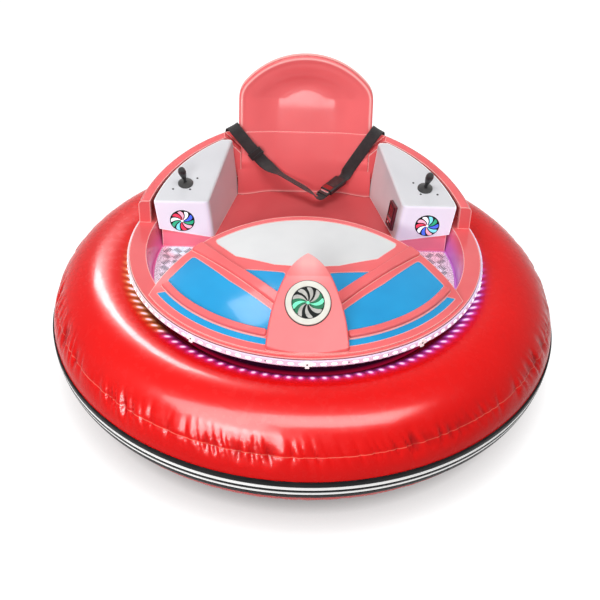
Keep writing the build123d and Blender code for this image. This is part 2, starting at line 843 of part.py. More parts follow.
# Control panel: a thin box on the inner face of the right console
panel_along = side_plane.x_dir
panel_normal = side_plane.z_dir * -1
panel_seat = Vector(side_x(panel_y, panel_z), panel_y, panel_z)
with BuildPart() as control_panel:
    with BuildSketch(Plane(origin=panel_seat + panel_normal * seat_gap, x_dir=panel_along, z_dir=panel_normal)):
        RectangleRounded(panel_wide, panel_tall, panel_thick / 3)
    extrude(amount=panel_thick)
    chamfer(control_panel.faces().sort_by(Axis(panel_seat, panel_normal))[-1].edges(), length=panel_thick / 6)
write(control_panel.part, "control_panel")

# Tread plates on the floor of the footwells
with BuildPart() as tread_plates:
    with BuildSketch(Plane.XY.offset(floor_z + shell_wall + seat_gap)) as tread_plan:
        Circle(well_floor_radius - tread_margin)
        with Locations((tread_inner_x, (tread_back_y + tread_front_y) / 2)):
            Rectangle(rim_radius, tread_back_y - tread_front_y, align=(Align.MIN, Align.CENTER), mode=Mode.INTERSECT)
        fillet(tread_plan.vertices(), radius=tread_round)
    extrude(amount=tread_thick)
    mirror(about=Plane.YZ)
write(tread_plates.part, "tread_plates")

# Steel frame: a hoop inside the ring, rails with the motor brackets, cross bars, posts, caster mounts and tray
with BuildPart() as hoop:
    with BuildSketch(Plane.XZ):
        with Locations((hoop_radius, hoop_z)):
            Circle(hoop_tube_radius)
    revolve(axis=Axis.Z)
write(hoop.part, "frame_hoop")
hoop_inside = Pos(0, 0, hoop_z) * Cylinder(hoop_radius, 2 * hoop_z, mode=Mode.PRIVATE)

rail_half = sqrt(hoop_radius**2 - rail_x**2)
rail_outer_x = rail_x + rail_wide / 2
rail_inner_x = rail_x - rail_wide / 2
rail_low_z = hoop_z - rail_high / 2
bracket_x = rail_outer_x - bracket_thick / 2
with BuildPart() as rails:
    for side in (-1, 1):
        with Locations((side * rail_x, 0, hoop_z)):
            Box(rail_wide, 2 * rail_half, rail_high)
        with Locations((side * bracket_x, drive_y, (hoop_z + bracket_low_z) / 2)):
            Box(bracket_thick, bracket_wide, hoop_z - bracket_low_z)
        with Locations(Location((side * bracket_x, drive_y, drive_radius), (0, 90, 0))):
            Cylinder(drive_shaft_radius + bracket_clear, 4 * bracket_thick, mode=Mode.SUBTRACT)
    add(hoop_inside, mode=Mode.INTERSECT)
    add(hoop.part, mode=Mode.SUBTRACT)
write(rails.part, "frame_rails")

with BuildPart() as cross_bars:
    for cross_y in (cross_front_y, cross_back_y):
        with Locations((0, cross_y, hoop_z)):
            Box(2 * sqrt(hoop_radius**2 - cross_y**2), post_size, rail_high)
    add(hoop_inside, mode=Mode.INTERSECT)
    add(hoop.part, mode=Mode.SUBTRACT)
    add(rails.part, mode=Mode.SUBTRACT)
write(cross_bars.part, "frame_cross_bars")

post_table = [
    # x, y of the posts on the right side
    (rail_x, post_front_y),
    (rail_x, cross_back_y),
    (post_side_x, cross_front_y),
    (post_side_x, cross_back_y),
]
post_places = [(side * x, y) for side in (-1, 1) for x, y in post_table]
with BuildPart() as posts:
    with BuildSketch(Plane.XY.offset(hoop_z + rail_high / 2)):
        with Locations(*post_places):
            Rectangle(post_size, post_size)
    extrude(amount=floor_z - hoop_z - rail_high / 2)
    with BuildSketch(Plane.XY.offset(floor_z)):
        with Locations(*post_places):
            Rectangle(foot_plate, foot_plate)
    extrude(amount=-foot_plate_thick)
write(posts.part, "frame_posts")

# Caster mounts: an arm out of the rail, a short post and the plate that the kingpin hangs from
caster_places = [(side * caster_x, y) for side in (-1, 1) for y in (caster_front_y, caster_back_y)]
with BuildPart() as caster_mounts:
    for x, y in caster_places:
        side = 1 if x > 0 else -1
        with Locations((side * (rail_outer_x + caster_x + post_size / 2) / 2, y, hoop_z)):
            Box(caster_x + post_size / 2 - rail_outer_x, post_size, rail_high)
    with BuildSketch(Plane.XY.offset(caster_plate_z)):
        with Locations(*caster_places):
            Rectangle(post_size, post_size)
    extrude(amount=rail_low_z - caster_plate_z)
    with BuildSketch(Plane.XY.offset(caster_plate_z)):
        with Locations(*caster_places):
            Rectangle(caster_plate_wide, caster_plate_long)
    extrude(amount=caster_plate_thick)
    with BuildSketch(Plane.XY.offset(caster_plate_z)):
        with Locations(*caster_places):
            Circle(kingpin_radius)
    extrude(amount=-(fork_head_thick + 2 * axial_clear))
    with BuildSketch(Plane.XY.offset(caster_plate_z - fork_head_thick - 2 * axial_clear)):
        with Locations(*caster_places):
            Circle(kingpin_radius + kingpin_head)
    extrude(amount=-kingpin_head)
write(caster_mounts.part, "caster_mounts")

# Battery tray, hung between the rails, and the battery pack in it
tray_long = battery_long + 2 * tray_thick
tray_low_z = battery_z - tray_thick
with BuildPart() as tray:
    with Locations((0, battery_y, tray_low_z)):
        Box(2 * rail_inner_x, tray_long, hoop_z - tray_low_z, align=(Align.CENTER, Align.CENTER, Align.MIN))
    with Locations((0, battery_y, battery_z)):
        Box(
            2 * (rail_inner_x - tray_thick), 2 * tray_long, hoop_z,
            align=(Align.CENTER, Align.CENTER, Align.MIN), mode=Mode.SUBTRACT,
        )
write(tray.part, "battery_tray")
with BuildPart() as battery:
    with Locations((0, battery_y, battery_z + seat_gap)):
        Box(battery_wide, battery_long, battery_high, align=(Align.CENTER, Align.CENTER, Align.MIN))
    fillet(battery.edges(), radius=battery_round)
write(battery.part, "battery_pack")

# Gear motors: a gearbox against the bracket and a motor can inside it, with a bore for the wheel's shaft
motor_face_x = rail_outer_x - bracket_thick - seat_gap
with BuildPart() as motors:
    with BuildSketch(Plane(origin=(motor_face_x, drive_y, drive_radius), x_dir=(0, 1, 0), z_dir=(-1, 0, 0))) as gear_face:
        Circle(gearbox_radius)
    extrude(amount=gearbox_long)
    with BuildSketch(Plane(origin=(motor_face_x - gearbox_long, drive_y, drive_radius), x_dir=(0, 1, 0), z_dir=(-1, 0, 0))):
        Circle(motor_radius)
    extrude(amount=motor_long)
    chamfer(motors.faces().filter_by(Axis.X).sort_by(Axis.X)[0].edges(), length=motor_chamfer)
    chamfer(motors.faces().filter_by(Axis.X).sort_by(Axis.X)[-1].edges(), length=motor_chamfer / 2)
    with BuildSketch(Plane(origin=(motor_face_x, drive_y, drive_radius), x_dir=(0, 1, 0), z_dir=(-1, 0, 0))):
        Circle(drive_shaft_radius + running_gap)
    extrude(amount=shaft_depth + axial_clear, mode=Mode.SUBTRACT)
    mirror(about=Plane.YZ)
write(motors.part, "gear_motors")

# Drive wheels: a dished rim with its stub shaft, and a tyre
wheel_in_x = drive_x - drive_wide / 2
wheel_out_x = drive_x + drive_wide / 2
wheel_plane = Plane(origin=(drive_x, drive_y, drive_radius), x_dir=(0, 1, 0), z_dir=(1, 0, 0))
wheel_axis = Axis((0, drive_y, drive_radius), (1, 0, 0))
with BuildPart() as rim_right:
    with BuildSketch(Plane(origin=(drive_x, drive_y, drive_radius), x_dir=(1, 0, 0), z_dir=(0, -1, 0))) as rim_section:
        half = drive_wide / 2
        with Locations((0, drive_rim_radius - rim_band / 2)):
            Rectangle(drive_wide - 4, rim_band)
        with Locations((0, drive_rim_radius / 2)):
            Rectangle(rim_web, drive_rim_radius)
        with Locations((0, drive_hub_radius / 2)):
            Rectangle(drive_wide, drive_hub_radius)
        with Locations((half, 0)):
            Rectangle(half + drive_x - motor_face_x + shaft_depth, drive_shaft_radius, align=(Align.MAX, Align.MIN))
    revolve(axis=wheel_axis)
    with BuildSketch(wheel_plane.offset(-drive_wide)):
        with PolarLocations((drive_hub_radius + drive_rim_radius - rim_band) / 2, rim_holes):
            Circle(rim_hole_radius)
    extrude(amount=2 * drive_wide, mode=Mode.SUBTRACT)
with BuildPart() as tyre_right:
    with BuildSketch(Plane(origin=(drive_x, drive_y, drive_radius), x_dir=(1, 0, 0), z_dir=(0, -1, 0))) as tyre_section:
        tyre_low = drive_rim_radius + seat_gap
        with Locations((0, tyre_low)):
            Rectangle(drive_wide, drive_radius - tyre_low, align=(Align.CENTER, Align.MIN))
        fillet(tyre_section.vertices().sort_by(Axis.Y)[-2:], radius=tyre_round)
    revolve(axis=wheel_axis)
for side, word in ((1, "right"), (-1, "left")):
    write(rim_right.part if side > 0 else mirror(rim_right.part, about=Plane.YZ), f"wheel_rim_{word}")
    write(tyre_right.part if side > 0 else mirror(tyre_right.part, about=Plane.YZ), f"drive_tyre_{word}")

# Swivel casters: a fork with its axle, trailing behind the kingpin, and a wheel
fork_top_z = caster_plate_z - axial_clear
leg_x = caster_wide / 2 + leg_clear + fork_leg_thick / 2
caster_names = {
    "front_left": (-caster_x, caster_front_y),
    "front_right": (caster_x, caster_front_y),
    "back_left": (-caster_x, caster_back_y),
    "back_right": (caster_x, caster_back_y),
}
for name, (x, y) in caster_names.items():
    with BuildPart() as fork:
        with BuildSketch(Plane.XY.offset(fork_top_z).move(Location((x, y, 0)))):
            Circle(fork_head_radius)
            Circle(kingpin_radius + running_gap, mode=Mode.SUBTRACT)
        extrude(amount=-fork_head_thick)
        for leg_side in (-1, 1):
            leg_plane = Plane(origin=(x + leg_side * leg_x - fork_leg_thick / 2, y, 0), x_dir=(0, 1, 0), z_dir=(1, 0, 0))
            with BuildSketch(leg_plane):
                with BuildLine():
                    Polyline(
                        (-leg_foot, fork_top_z - fork_head_thick),
                        (leg_foot + 6, fork_top_z - fork_head_thick),
                        (caster_trail + leg_eye, caster_radius),
                        (caster_trail - leg_eye, caster_radius),
                        close=True,
                    )
                make_face()
                with Locations((caster_trail, caster_radius)):
                    Circle(leg_eye)
            extrude(amount=fork_leg_thick)
        with BuildSketch(Plane(origin=(x - leg_x, y + caster_trail, caster_radius), x_dir=(0, 1, 0), z_dir=(1, 0, 0))):
            Circle(caster_axle_radius)
        extrude(amount=2 * leg_x)
    write(fork.part, f"caster_fork_{name}")
    with BuildPart() as wheel:
        with BuildSketch(Plane(origin=(x, y + caster_trail, caster_radius), x_dir=(1, 0, 0), z_dir=(0, -1, 0))) as wheel_section:
            bore = caster_axle_radius + running_gap
            with Locations((0, bore)):
                Rectangle(caster_wide, caster_radius - bore, align=(Align.CENTER, Align.MIN))
            fillet(wheel_section.vertices().sort_by(Axis.Y)[-2:], radius=caster_round)
        revolve(axis=Axis((x, y + caster_trail, caster_radius), (1, 0, 0)))
    write(wheel.part, f"caster_wheel_{name}")

# Seat belt anchors: a flat plate on each rear shoulder of the surround
anchor_way = Vector(cos(radians(anchor_angle)), sin(radians(anchor_angle)), 0)
anchor_side = Vector(-anchor_way.Y, anchor_way.X, 0)
anchor_plane = Plane(
    origin=anchor_way * (wing_outer_radius + seat_gap) + Vector(0, 0, anchor_z), x_dir=anchor_side, z_dir=anchor_way
)
with BuildPart() as anchors:
    with BuildSketch(anchor_plane):
        RectangleRounded(anchor_wide, anchor_long, anchor_thick)
    extrude(amount=anchor_thick)
    mirror(about=Plane.YZ)
write(anchors.part, "belt_anchors")

# Buckle and tongue on one line, the tongue's blade inside the buckle's slot
lap_axis = (Vector(*buckle_point) - Vector(*tongue_point)).normalized()
lap_side = lap_axis.cross(Vector(0, 0, 1)).normalized()
lap_length = (Vector(*buckle_point) - Vector(*tongue_point)).length
buckle_long = lap_length - tongue_long - slot_gap
with BuildPart() as tongue:
    with BuildSketch(Plane(origin=tongue_point, x_dir=lap_side, z_dir=lap_axis)):
        RectangleRounded(belt_wide, tongue_thick, tongue_thick / 3)
    extrude(amount=tongue_long)
    with BuildSketch(Plane(origin=tongue_point, x_dir=lap_side, z_dir=lap_axis)):
        Rectangle(blade_wide, blade_thick)
    extrude(amount=tongue_long + blade_in)
write(tongue.part, "belt_tongue")
with BuildPart() as buckle:
    buckle_start = Vector(*tongue_point) + lap_axis * (tongue_long + slot_gap)
    with BuildSketch(Plane(origin=buckle_start, x_dir=lap_side, z_dir=lap_axis)):
        RectangleRounded(buckle_wide, buckle_thick, buckle_thick / 4)
    extrude(amount=buckle_long)
    with BuildSketch(Plane(origin=buckle_start, x_dir=lap_side, z_dir=lap_axis)):
        Rectangle(blade_wide + 2 * slot_gap, blade_thick + 2 * slot_gap)
    extrude(amount=blade_in + slot_gap, mode=Mode.SUBTRACT)
write(buckle.part, "belt_buckle")


def strap(stations):
    """A flat strap lofted through stations, each one a point and the strap's width direction there."""
    points = [Vector(*point) for point, across in stations]
    runs = [(b - a).normalized() for a, b in zip(points, points[1:])]
    ways = [runs[0]] + [(a + b).normalized() for a, b in zip(runs, runs[1:])] + [runs[-1]]
    with BuildPart() as belt:
        for point, way, (origin, across) in zip(points, ways, stations):
            side = Vector(*across) - way * way.dot(Vector(*across))
            with BuildSketch(Plane(origin=point, x_dir=side, z_dir=way)):
                Rectangle(belt_wide, belt_thick)
        loft(ruled=True)
    return belt.part


def mirrored(stations):
    return [((-point[0], *point[1:]), (-across[0], *across[1:])) for point, across in stations]


# The straps' stations: (x, y, z) of the point and the width direction; the shoulder's are for the right side
strap_radius = wing_outer_radius + 2 * seat_gap + anchor_thick + belt_thick / 2
strap_x = anchor_way.X * strap_radius
strap_y = anchor_way.Y * strap_radius
back_side = (-0.84, 0.163, 0.518)
shoulder_stations = [
    ((strap_x, strap_y, strap_low_z), tuple(anchor_side)),
    ((strap_x, strap_y, strap_high_z), tuple(anchor_side)),
    ((235.0, 451.0, 554.0), (-0.86, 0.36, 0.34)),
    ((230.0, 438.0, 561.0), back_side),
    ((221.0, 424.0, 556.0), back_side),
]
lap_left = tuple(Vector(*tongue_point) - lap_axis * seat_gap)
lap_left_back = tuple(Vector(*tongue_point) - lap_axis * lap_run)
lap_right = tuple(Vector(*buckle_point) + lap_axis * seat_gap)
lap_right_back = tuple(Vector(*buckle_point) + lap_axis * lap_run)
lap_across = tuple(lap_side * -1)
left_stations = mirrored(shoulder_stations) + [
    ((-143.0, 408.0, 464.0), (0.84, 0.163, 0.518)),
    ((-124.0, 402.0, 447.0), (0.70, 0.50, 0.35)),
    ((-68.0, 378.0, 421.0), (0.285, 0.926, -0.245)),
    ((-2.0, 343.0, 399.0), (0.05, 0.98, -0.15)),
    (lap_left_back, lap_across),
    (lap_left, lap_across),
]
right_stations = shoulder_stations + [
    ((144.0, 402.0, 436.0), back_side),
    (lap_right_back, lap_across),
    (lap_right, lap_across),
]
write(strap(left_stations) + strap(right_stations), "belt_straps")

# Adjuster slider: a flat frame that the left strap runs through, on the run down the seat back
slider_station = len(shoulder_stations)
slide_from, slide_side = left_stations[slider_station - 1]
slide_run = Vector(*left_stations[slider_station][0]) - Vector(*slide_from)
slide_axis = slide_run.normalized()
slide_start = Vector(*slide_from) + slide_run * slider_share - slide_axis * slider_long
with BuildPart() as slider:
    with BuildSketch(Plane(origin=slide_start, x_dir=slide_side, z_dir=slide_axis)):
        RectangleRounded(slider_wide, slider_thick, slider_thick / 3)
        Rectangle(belt_wide + 4 * slot_gap, belt_thick + 4 * slot_gap, mode=Mode.SUBTRACT)
    extrude(amount=slider_long)
write(slider.part, "belt_slider")
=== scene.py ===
# %% [markdown]
# # An inflatable bumper car, dressed for the camera
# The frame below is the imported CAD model: every hard piece at its true size and place, in metres,
# nose along -Y and +Z up. This lesson gives each surface its finish and builds the soft and small
# pieces that solids leave plain: the welded vinyl ring, the belt webbing, the light beads and the lamps.

import math

import bmesh
import bpy
from mathutils import Matrix, Vector, noise


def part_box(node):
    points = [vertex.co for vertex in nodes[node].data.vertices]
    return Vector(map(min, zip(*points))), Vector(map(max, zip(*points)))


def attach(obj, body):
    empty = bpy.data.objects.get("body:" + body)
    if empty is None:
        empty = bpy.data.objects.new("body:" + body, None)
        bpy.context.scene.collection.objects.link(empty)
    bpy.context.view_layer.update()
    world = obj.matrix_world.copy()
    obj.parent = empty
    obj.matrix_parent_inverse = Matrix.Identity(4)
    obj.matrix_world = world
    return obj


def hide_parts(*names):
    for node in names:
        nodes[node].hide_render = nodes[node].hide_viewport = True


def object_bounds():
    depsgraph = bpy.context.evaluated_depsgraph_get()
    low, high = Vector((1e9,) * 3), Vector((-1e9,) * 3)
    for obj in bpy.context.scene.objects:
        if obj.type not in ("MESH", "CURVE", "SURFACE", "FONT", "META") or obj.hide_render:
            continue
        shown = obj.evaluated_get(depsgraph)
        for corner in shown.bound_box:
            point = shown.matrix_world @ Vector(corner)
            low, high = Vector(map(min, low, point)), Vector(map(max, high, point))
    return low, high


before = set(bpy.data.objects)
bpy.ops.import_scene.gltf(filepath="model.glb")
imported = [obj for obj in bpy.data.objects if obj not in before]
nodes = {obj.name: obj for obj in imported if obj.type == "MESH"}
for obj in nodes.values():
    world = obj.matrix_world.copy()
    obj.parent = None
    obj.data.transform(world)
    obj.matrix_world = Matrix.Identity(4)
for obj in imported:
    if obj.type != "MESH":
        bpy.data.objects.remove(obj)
cad_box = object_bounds()
print("nodes", len(nodes), "size", [round(high - low, 3) for low, high in zip(*cad_box)])

# %% [markdown]
# The camera stands in front of the nose and looks down into the cockpit, as in the photograph. Its place
# and its three axes were fitted to the ring, the rim and the lamps, so it is written as a matrix. A small
# roll is part of the picture: the horizon of the photograph isn't quite level. The last turn moves the
# camera round the car a little, until the nose and the seat stand as far left and right as they do there.

# %% Camera
scene = bpy.context.scene
FRAME_PIXELS = 600
FOCAL_PIXELS = 1100.0
CAMERA_PLACE = Vector((0.0, -2.687, 2.206))
CAMERA_RIGHT = Vector((0.999, 0.025, 0.029))
CAMERA_FORWARD = Vector((-0.003, 0.802, -0.597))
CAMERA_TURN = Matrix.Rotation(math.radians(-1.8), 4, "Z")

camera_data = bpy.data.cameras.new("camera")
camera_data.sensor_width = 36.0
camera_data.lens = camera_data.sensor_width * FOCAL_PIXELS / FRAME_PIXELS
camera = bpy.data.objects.new("camera", camera_data)
scene.collection.objects.link(camera)
camera_up = CAMERA_RIGHT.cross(CAMERA_FORWARD).normalized()
camera_right = CAMERA_FORWARD.cross(camera_up).normalized()
axes = Matrix((camera_right, camera_up, -CAMERA_FORWARD.normalized())).transposed()
camera.matrix_world = CAMERA_TURN @ Matrix.Translation(CAMERA_PLACE) @ axes.to_4x4()
scene.camera = camera
print("lens", round(camera_data.lens, 1), "mm")

# %% [markdown]
# Two jobs are kept apart, as in a studio. The fill boxes light the colours and leave no mark in the gloss. The
# shine boxes only show as highlights, each in the pieces that it is linked to: three in front draw the pale
# field on the ring, a narrow one behind on the left draws the ring's white streak, and weaker ones serve the
# moulded body.
# The floor and the world answer camera, glossy and transmission rays with white, so that the background
# stays white while the object itself is lit at a plain level and its shadow stays on the floor.

# %% Lights and world
SOFT_BOXES = [
    # name, place, aim, width, length, turn in degrees, watts, which pieces show it in their gloss
    ("fill_over_nose", (0.0, -0.55, 3.3), (0.0, -0.25, 0.3), 2.3, 1.1, 0.0, 46.0, None),
    ("fill_front", (-1.2, -3.8, 2.0), (0.0, -0.3, 0.3), 2.0, 0.6, 0.0, 86.0, None),
    ("fill_left", (-3.0, -0.4, 1.9), (-0.2, 0.0, 0.3), 0.8, 2.6, 0.0, 14.0, None),
    ("fill_behind", (0.0, 2.6, 2.5), (0.0, 0.2, 0.4), 2.4, 1.0, 0.0, 12.0, None),
    ("ring_over_nose", (0.75, -1.65, 3.2), (0.75, -1.65, 0.0), 2.9, 1.2, 0.0, 520.0, "ring"),
    ("ring_front_left", (-1.95, -3.0, 3.2), (-1.95, -3.0, 0.0), 2.6, 3.8, 0.0, 1380.0, "ring"),
    ("ring_low_left", (-1.8, -3.43, 1.9), (-0.1, -0.72, 0.3), 2.3, 2.0, 0.0, 690.0, "ring"),
    ("ring_behind_left", (-1.65, 3.25, 3.2), (-1.65, 3.25, 0.0), 2.6, 0.72, -41.0, 570.0, "ring"),
    ("body_over_nose", (0.3, -2.0, 3.2), (0.3, -2.0, 0.0), 2.8, 1.5, 0.0, 66.0, "body"),
    ("body_behind", (-0.55, 1.15, 3.2), (-0.55, 1.15, 0.0), 0.7, 0.7, 25.0, 13.0, "body"),
    ("body_window", (-2.5, 3.0, 3.2), (-2.5, 3.0, 0.0), 0.5, 0.3, -41.0, 30.0, "body"),
    ("body_low_front", (0.03, -2.6, 1.14), (0.0, 0.49, 0.65), 0.26, 0.15, 0.0, 2.4, "body"),
]
GLOSS_SETS = {word: bpy.data.collections.new(f"gloss of the {word}") for word in ("ring", "body")}


def soft_box(name, place, aim, width, length, turn, watts, shown_in):
    lamp = bpy.data.lights.new(name, "AREA")
    lamp.shape = "RECTANGLE"
    lamp.size = width
    lamp.size_y = length
    lamp.energy = watts
    holder = bpy.data.objects.new(name, lamp)
    scene.collection.objects.link(holder)
    holder.location = place
    towards = (Vector(aim) - Vector(place)).to_track_quat("-Z", "Y").to_matrix()
    holder.rotation_euler = (towards @ Matrix.Rotation(math.radians(turn), 3, "Z")).to_euler()
    holder.visible_diffuse = shown_in is None
    holder.visible_glossy = shown_in is not None
    if shown_in:
        holder.light_linking.receiver_collection = GLOSS_SETS[shown_in]


for row in SOFT_BOXES:
    soft_box(*row)
for name in ("hood", "nose_pod", "seat_shell", "wing_surround", "base_shell"):
    GLOSS_SETS["body"].objects.link(nodes[name])

WORLD_LEVEL = 0.30
WHITE = (1.0, 1.0, 1.0)
BLACK = (0.0, 0.0, 0.0)
world = bpy.data.worlds.new("studio")
scene.world = world
world.use_nodes = True
world_nodes = world.node_tree.nodes
world_links = world.node_tree.links
world_nodes.clear()


def seen_directly(tree):
    """1 for camera, glossy and transmission rays, 0 for the rays that carry light between surfaces."""
    path = tree.nodes.new("ShaderNodeLightPath")
    seen = path.outputs["Is Camera Ray"]
    for label in ("Is Glossy Ray", "Is Transmission Ray"):
        either = tree.nodes.new("ShaderNodeMath")
        either.operation = "MAXIMUM"
        tree.links.new(seen, either.inputs[0])
        tree.links.new(path.outputs[label], either.inputs[1])
        seen = either.outputs[0]
    return seen


world_mix = world_nodes.new("ShaderNodeMixShader")
world_out = world_nodes.new("ShaderNodeOutputWorld")
world_links.new(seen_directly(world.node_tree), world_mix.inputs[0])
for number, level in ((1, WORLD_LEVEL), (2, 1.0)):
    light = world_nodes.new("ShaderNodeBackground")
    light.inputs["Color"].default_value = (*WHITE, 1.0)
    light.inputs["Strength"].default_value = level
    world_links.new(light.outputs[0], world_mix.inputs[number])
world_links.new(world_mix.outputs[0], world_out.inputs[0])
scene.view_settings.view_transform = "Standard"
print("lamps", len(SOFT_BOXES))

# %% [markdown]
# Materials share a few effects, so each effect is a shader node group, made once and placed in every
# material that needs it with its own values. The first helper starts a group and declares its sockets.
# Groups read object coordinates, which are the frame's metres, so a grain keeps its real size everywhere.

# %% Node helpers


def new_group(name, inputs, outputs):
    """A shader node group with inputs (name, value) and outputs, all of them numbers apart from Color."""
    group = bpy.data.node_groups.new(name, "ShaderNodeTree")
    for label, value in inputs:
        socket = group.interface.new_socket(name=label, in_out="INPUT", socket_type="NodeSocketFloat")
        socket.default_value = value
    for label in outputs:
        kind = "NodeSocketColor" if label == "Color" else "NodeSocketFloat"
        group.interface.new_socket(name=label, in_out="OUTPUT", socket_type=kind)
    print("group", name)
    return group, group.nodes.new("NodeGroupInput").outputs, group.nodes.new("NodeGroupOutput").inputs


def feed(tree, value, socket):
    """Puts a plain number or another node's output into a socket."""
    if isinstance(value, (int, float)):
        socket.default_value = value
    else:
        tree.links.new(value, socket)


def math_node(tree, operation, *values):
    """A Math node over sockets or plain numbers."""
    node = tree.nodes.new("ShaderNodeMath")
    node.operation = operation
    for value, socket in zip(values, node.inputs):
        feed(tree, value, socket)
    return node.outputs[0]


def product(tree, *factors):
    """The product of sockets and plain numbers."""
    total = factors[0]
    for factor in factors[1:]:
        total = math_node(tree, "MULTIPLY", total, factor)
    return total


def hypotenuse(tree, first, second):
    """The length of a flat vector from its two parts."""
    return math_node(tree, "SQRT", math_node(tree, "ADD", product(tree, first, first), product(tree, second, second)))


def ramp_node(tree, value, low, high):
    """The value stretched so that low becomes 0 and high becomes 1, held between them."""
    node = tree.nodes.new("ShaderNodeMapRange")
    node.inputs["From Min"].default_value = low
    node.inputs["From Max"].default_value = high
    tree.links.new(value, node.inputs["Value"])
    return node.outputs["Result"]


def noise_node(tree, scale, detail, rough=0.5):
    """A noise texture over object coordinates."""
    node = tree.nodes.new("ShaderNodeTexNoise")
    node.inputs["Detail"].default_value = detail
    node.inputs["Roughness"].default_value = rough
    feed(tree, scale, node.inputs["Scale"])
    tree.links.new(tree.nodes.new("ShaderNodeTexCoord").outputs["Object"], node.inputs["Vector"])
    return node.outputs["Fac"]


def split_vector(tree, vector):
    """The X, Y and Z of a vector socket."""
    node = tree.nodes.new("ShaderNodeSeparateXYZ")
    tree.links.new(vector, node.inputs[0])
    return node.outputs


def point_place(tree):
    """The point's own place in metres, as X, Y and Z."""
    return split_vector(tree, tree.nodes.new("ShaderNodeTexCoord").outputs["Object"])


def point_normal(tree):
    """The direction that the surface faces at the point, as X, Y and Z."""
    return split_vector(tree, tree.nodes.new("ShaderNodeNewGeometry").outputs["Normal"])


# %% [markdown]
# **Tone drift.** No moulded or painted surface is one even colour: gel coat is sprayed, vinyl is stretched.
# Two noises of very different size give a mask that lightens and darkens the base colour a little, and the
# same mask moves the roughness, so that highlights break up softly.

# %% Tone drift group
FINE_FACTOR = 14.0
tone_group, entry, result = new_group("tone_drift", [("Scale", 6.0)], ["Mask", "Fine"])
broad = noise_node(tone_group, entry["Scale"], 2.0)
fine = noise_node(tone_group, product(tone_group, entry["Scale"], FINE_FACTOR), 4.0)
tone_group.links.new(ramp_node(tone_group, broad, 0.32, 0.68), result["Mask"])
tone_group.links.new(ramp_node(tone_group, fine, 0.3, 0.7), result["Fine"])

# %% [markdown]
# **Surface grain.** Moulded plastic has a fine orange-peel skin, cast iron a coarse one. The group gives a
# height for the Bump node of each material; the scale is in grains per metre.

# %% Surface grain group
grain_group, entry, result = new_group("surface_grain", [("Scale", 400.0)], ["Height"])
grain_group.links.new(noise_node(grain_group, entry["Scale"], 3.0), result["Height"])

# %% [markdown]
# **Edge wear.** Corners of painted steel are rubbed bright. A Bevel node rounds the normal near an edge, and
# **Painted edge highlights.** A polished corner of gel coat catches a thin line of light, and this is painted in:
# the group marks a narrow even line along every corner of a moulding, which the finishes make pale.
# some light to throw back. This group marks a narrow even line along every corner of a moulding.

# %% Edge groups


def edge_mask(tree, radius, samples, low, high):
    """1 near an edge: the rounded normal's turn away from the true one, stretched from low to high."""
    bevel = tree.nodes.new("ShaderNodeBevel")
    bevel.samples = samples
    tree.links.new(radius, bevel.inputs["Radius"])
    facing = tree.nodes.new("ShaderNodeVectorMath")
    facing.operation = "DOT_PRODUCT"
    tree.links.new(bevel.outputs["Normal"], facing.inputs[0])
    tree.links.new(tree.nodes.new("ShaderNodeNewGeometry").outputs["Normal"], facing.inputs[1])
    return ramp_node(tree, math_node(tree, "SUBTRACT", 1.0, facing.outputs["Value"]), low, high)


wear_group, entry, result = new_group("edge_wear", [("Radius", 0.002), ("Breakup", 160.0)], ["Mask"])
chips = ramp_node(wear_group, noise_node(wear_group, entry["Breakup"], 5.0), 0.42, 0.58)
bend = edge_mask(wear_group, entry["Radius"], 4, 0.02, 0.16)
wear_group.links.new(product(wear_group, bend, chips), result["Mask"])
edge_highlight_group, entry, result = new_group("painted_edge_highlight", [("Radius", 0.002)], ["Mask"])
edge_highlight_group.links.new(edge_mask(edge_highlight_group, entry["Radius"], 8, 0.008, 0.05), result["Mask"])

# %% [markdown]
# **Settled dust.** Dust gathers where a surface looks up. The mask is the upward share of the normal,
# broken by noise, and each material lightens and roughens its surface by it.

# %% Settled dust group
dust_group, entry, result = new_group("settled_dust", [("Scale", 30.0)], ["Mask"])
upward = ramp_node(dust_group, point_normal(dust_group)["Z"], 0.35, 1.0)
patches = ramp_node(dust_group, noise_node(dust_group, entry["Scale"], 6.0, rough=0.65), 0.4, 0.75)
dust_group.links.new(product(dust_group, upward, patches), result["Mask"])

# %% [markdown]
# **Weld line.** Where two gores of vinyl are welded, the seam shows as a thin paler line. The group works
# out the angle round the ring's tube from the point's own place, and marks a narrow band at each weld.

# %% Weld line group
TUBE_CENTRE = (0.583, 0.190)


def round_the_tube(tree, place):
    """The angle round the ring's tube, in radians, from its outermost line."""
    reach = hypotenuse(tree, place["X"], place["Y"])
    return math_node(tree, "ARCTAN2", math_node(tree, "SUBTRACT", place["Z"], TUBE_CENTRE[1]),
                     math_node(tree, "SUBTRACT", reach, TUBE_CENTRE[0]))


weld_group, entry, result = new_group("weld_line", [("Angle", 25.0), ("Width", 0.28)], ["Mask"])
tube_turn = product(weld_group, round_the_tube(weld_group, point_place(weld_group)), 180.0 / math.pi)
away = math_node(weld_group, "ABSOLUTE", math_node(weld_group, "SUBTRACT", tube_turn, entry["Angle"]))
near = weld_group.nodes.new("ShaderNodeMapRange")
near.inputs["To Min"].default_value = 1.0
near.inputs["To Max"].default_value = 0.0
weld_group.links.new(away, near.inputs["Value"])
weld_group.links.new(entry["Width"], near.inputs["From Max"])
weld_group.links.new(near.outputs["Result"], result["Mask"])

# %% [markdown]
# **Weave.** Belt webbing is woven: ribs of warp run along it, and weft crosses them. The strap's own
# coordinates, in metres along and across, go into two waves whose product is the height of the threads.

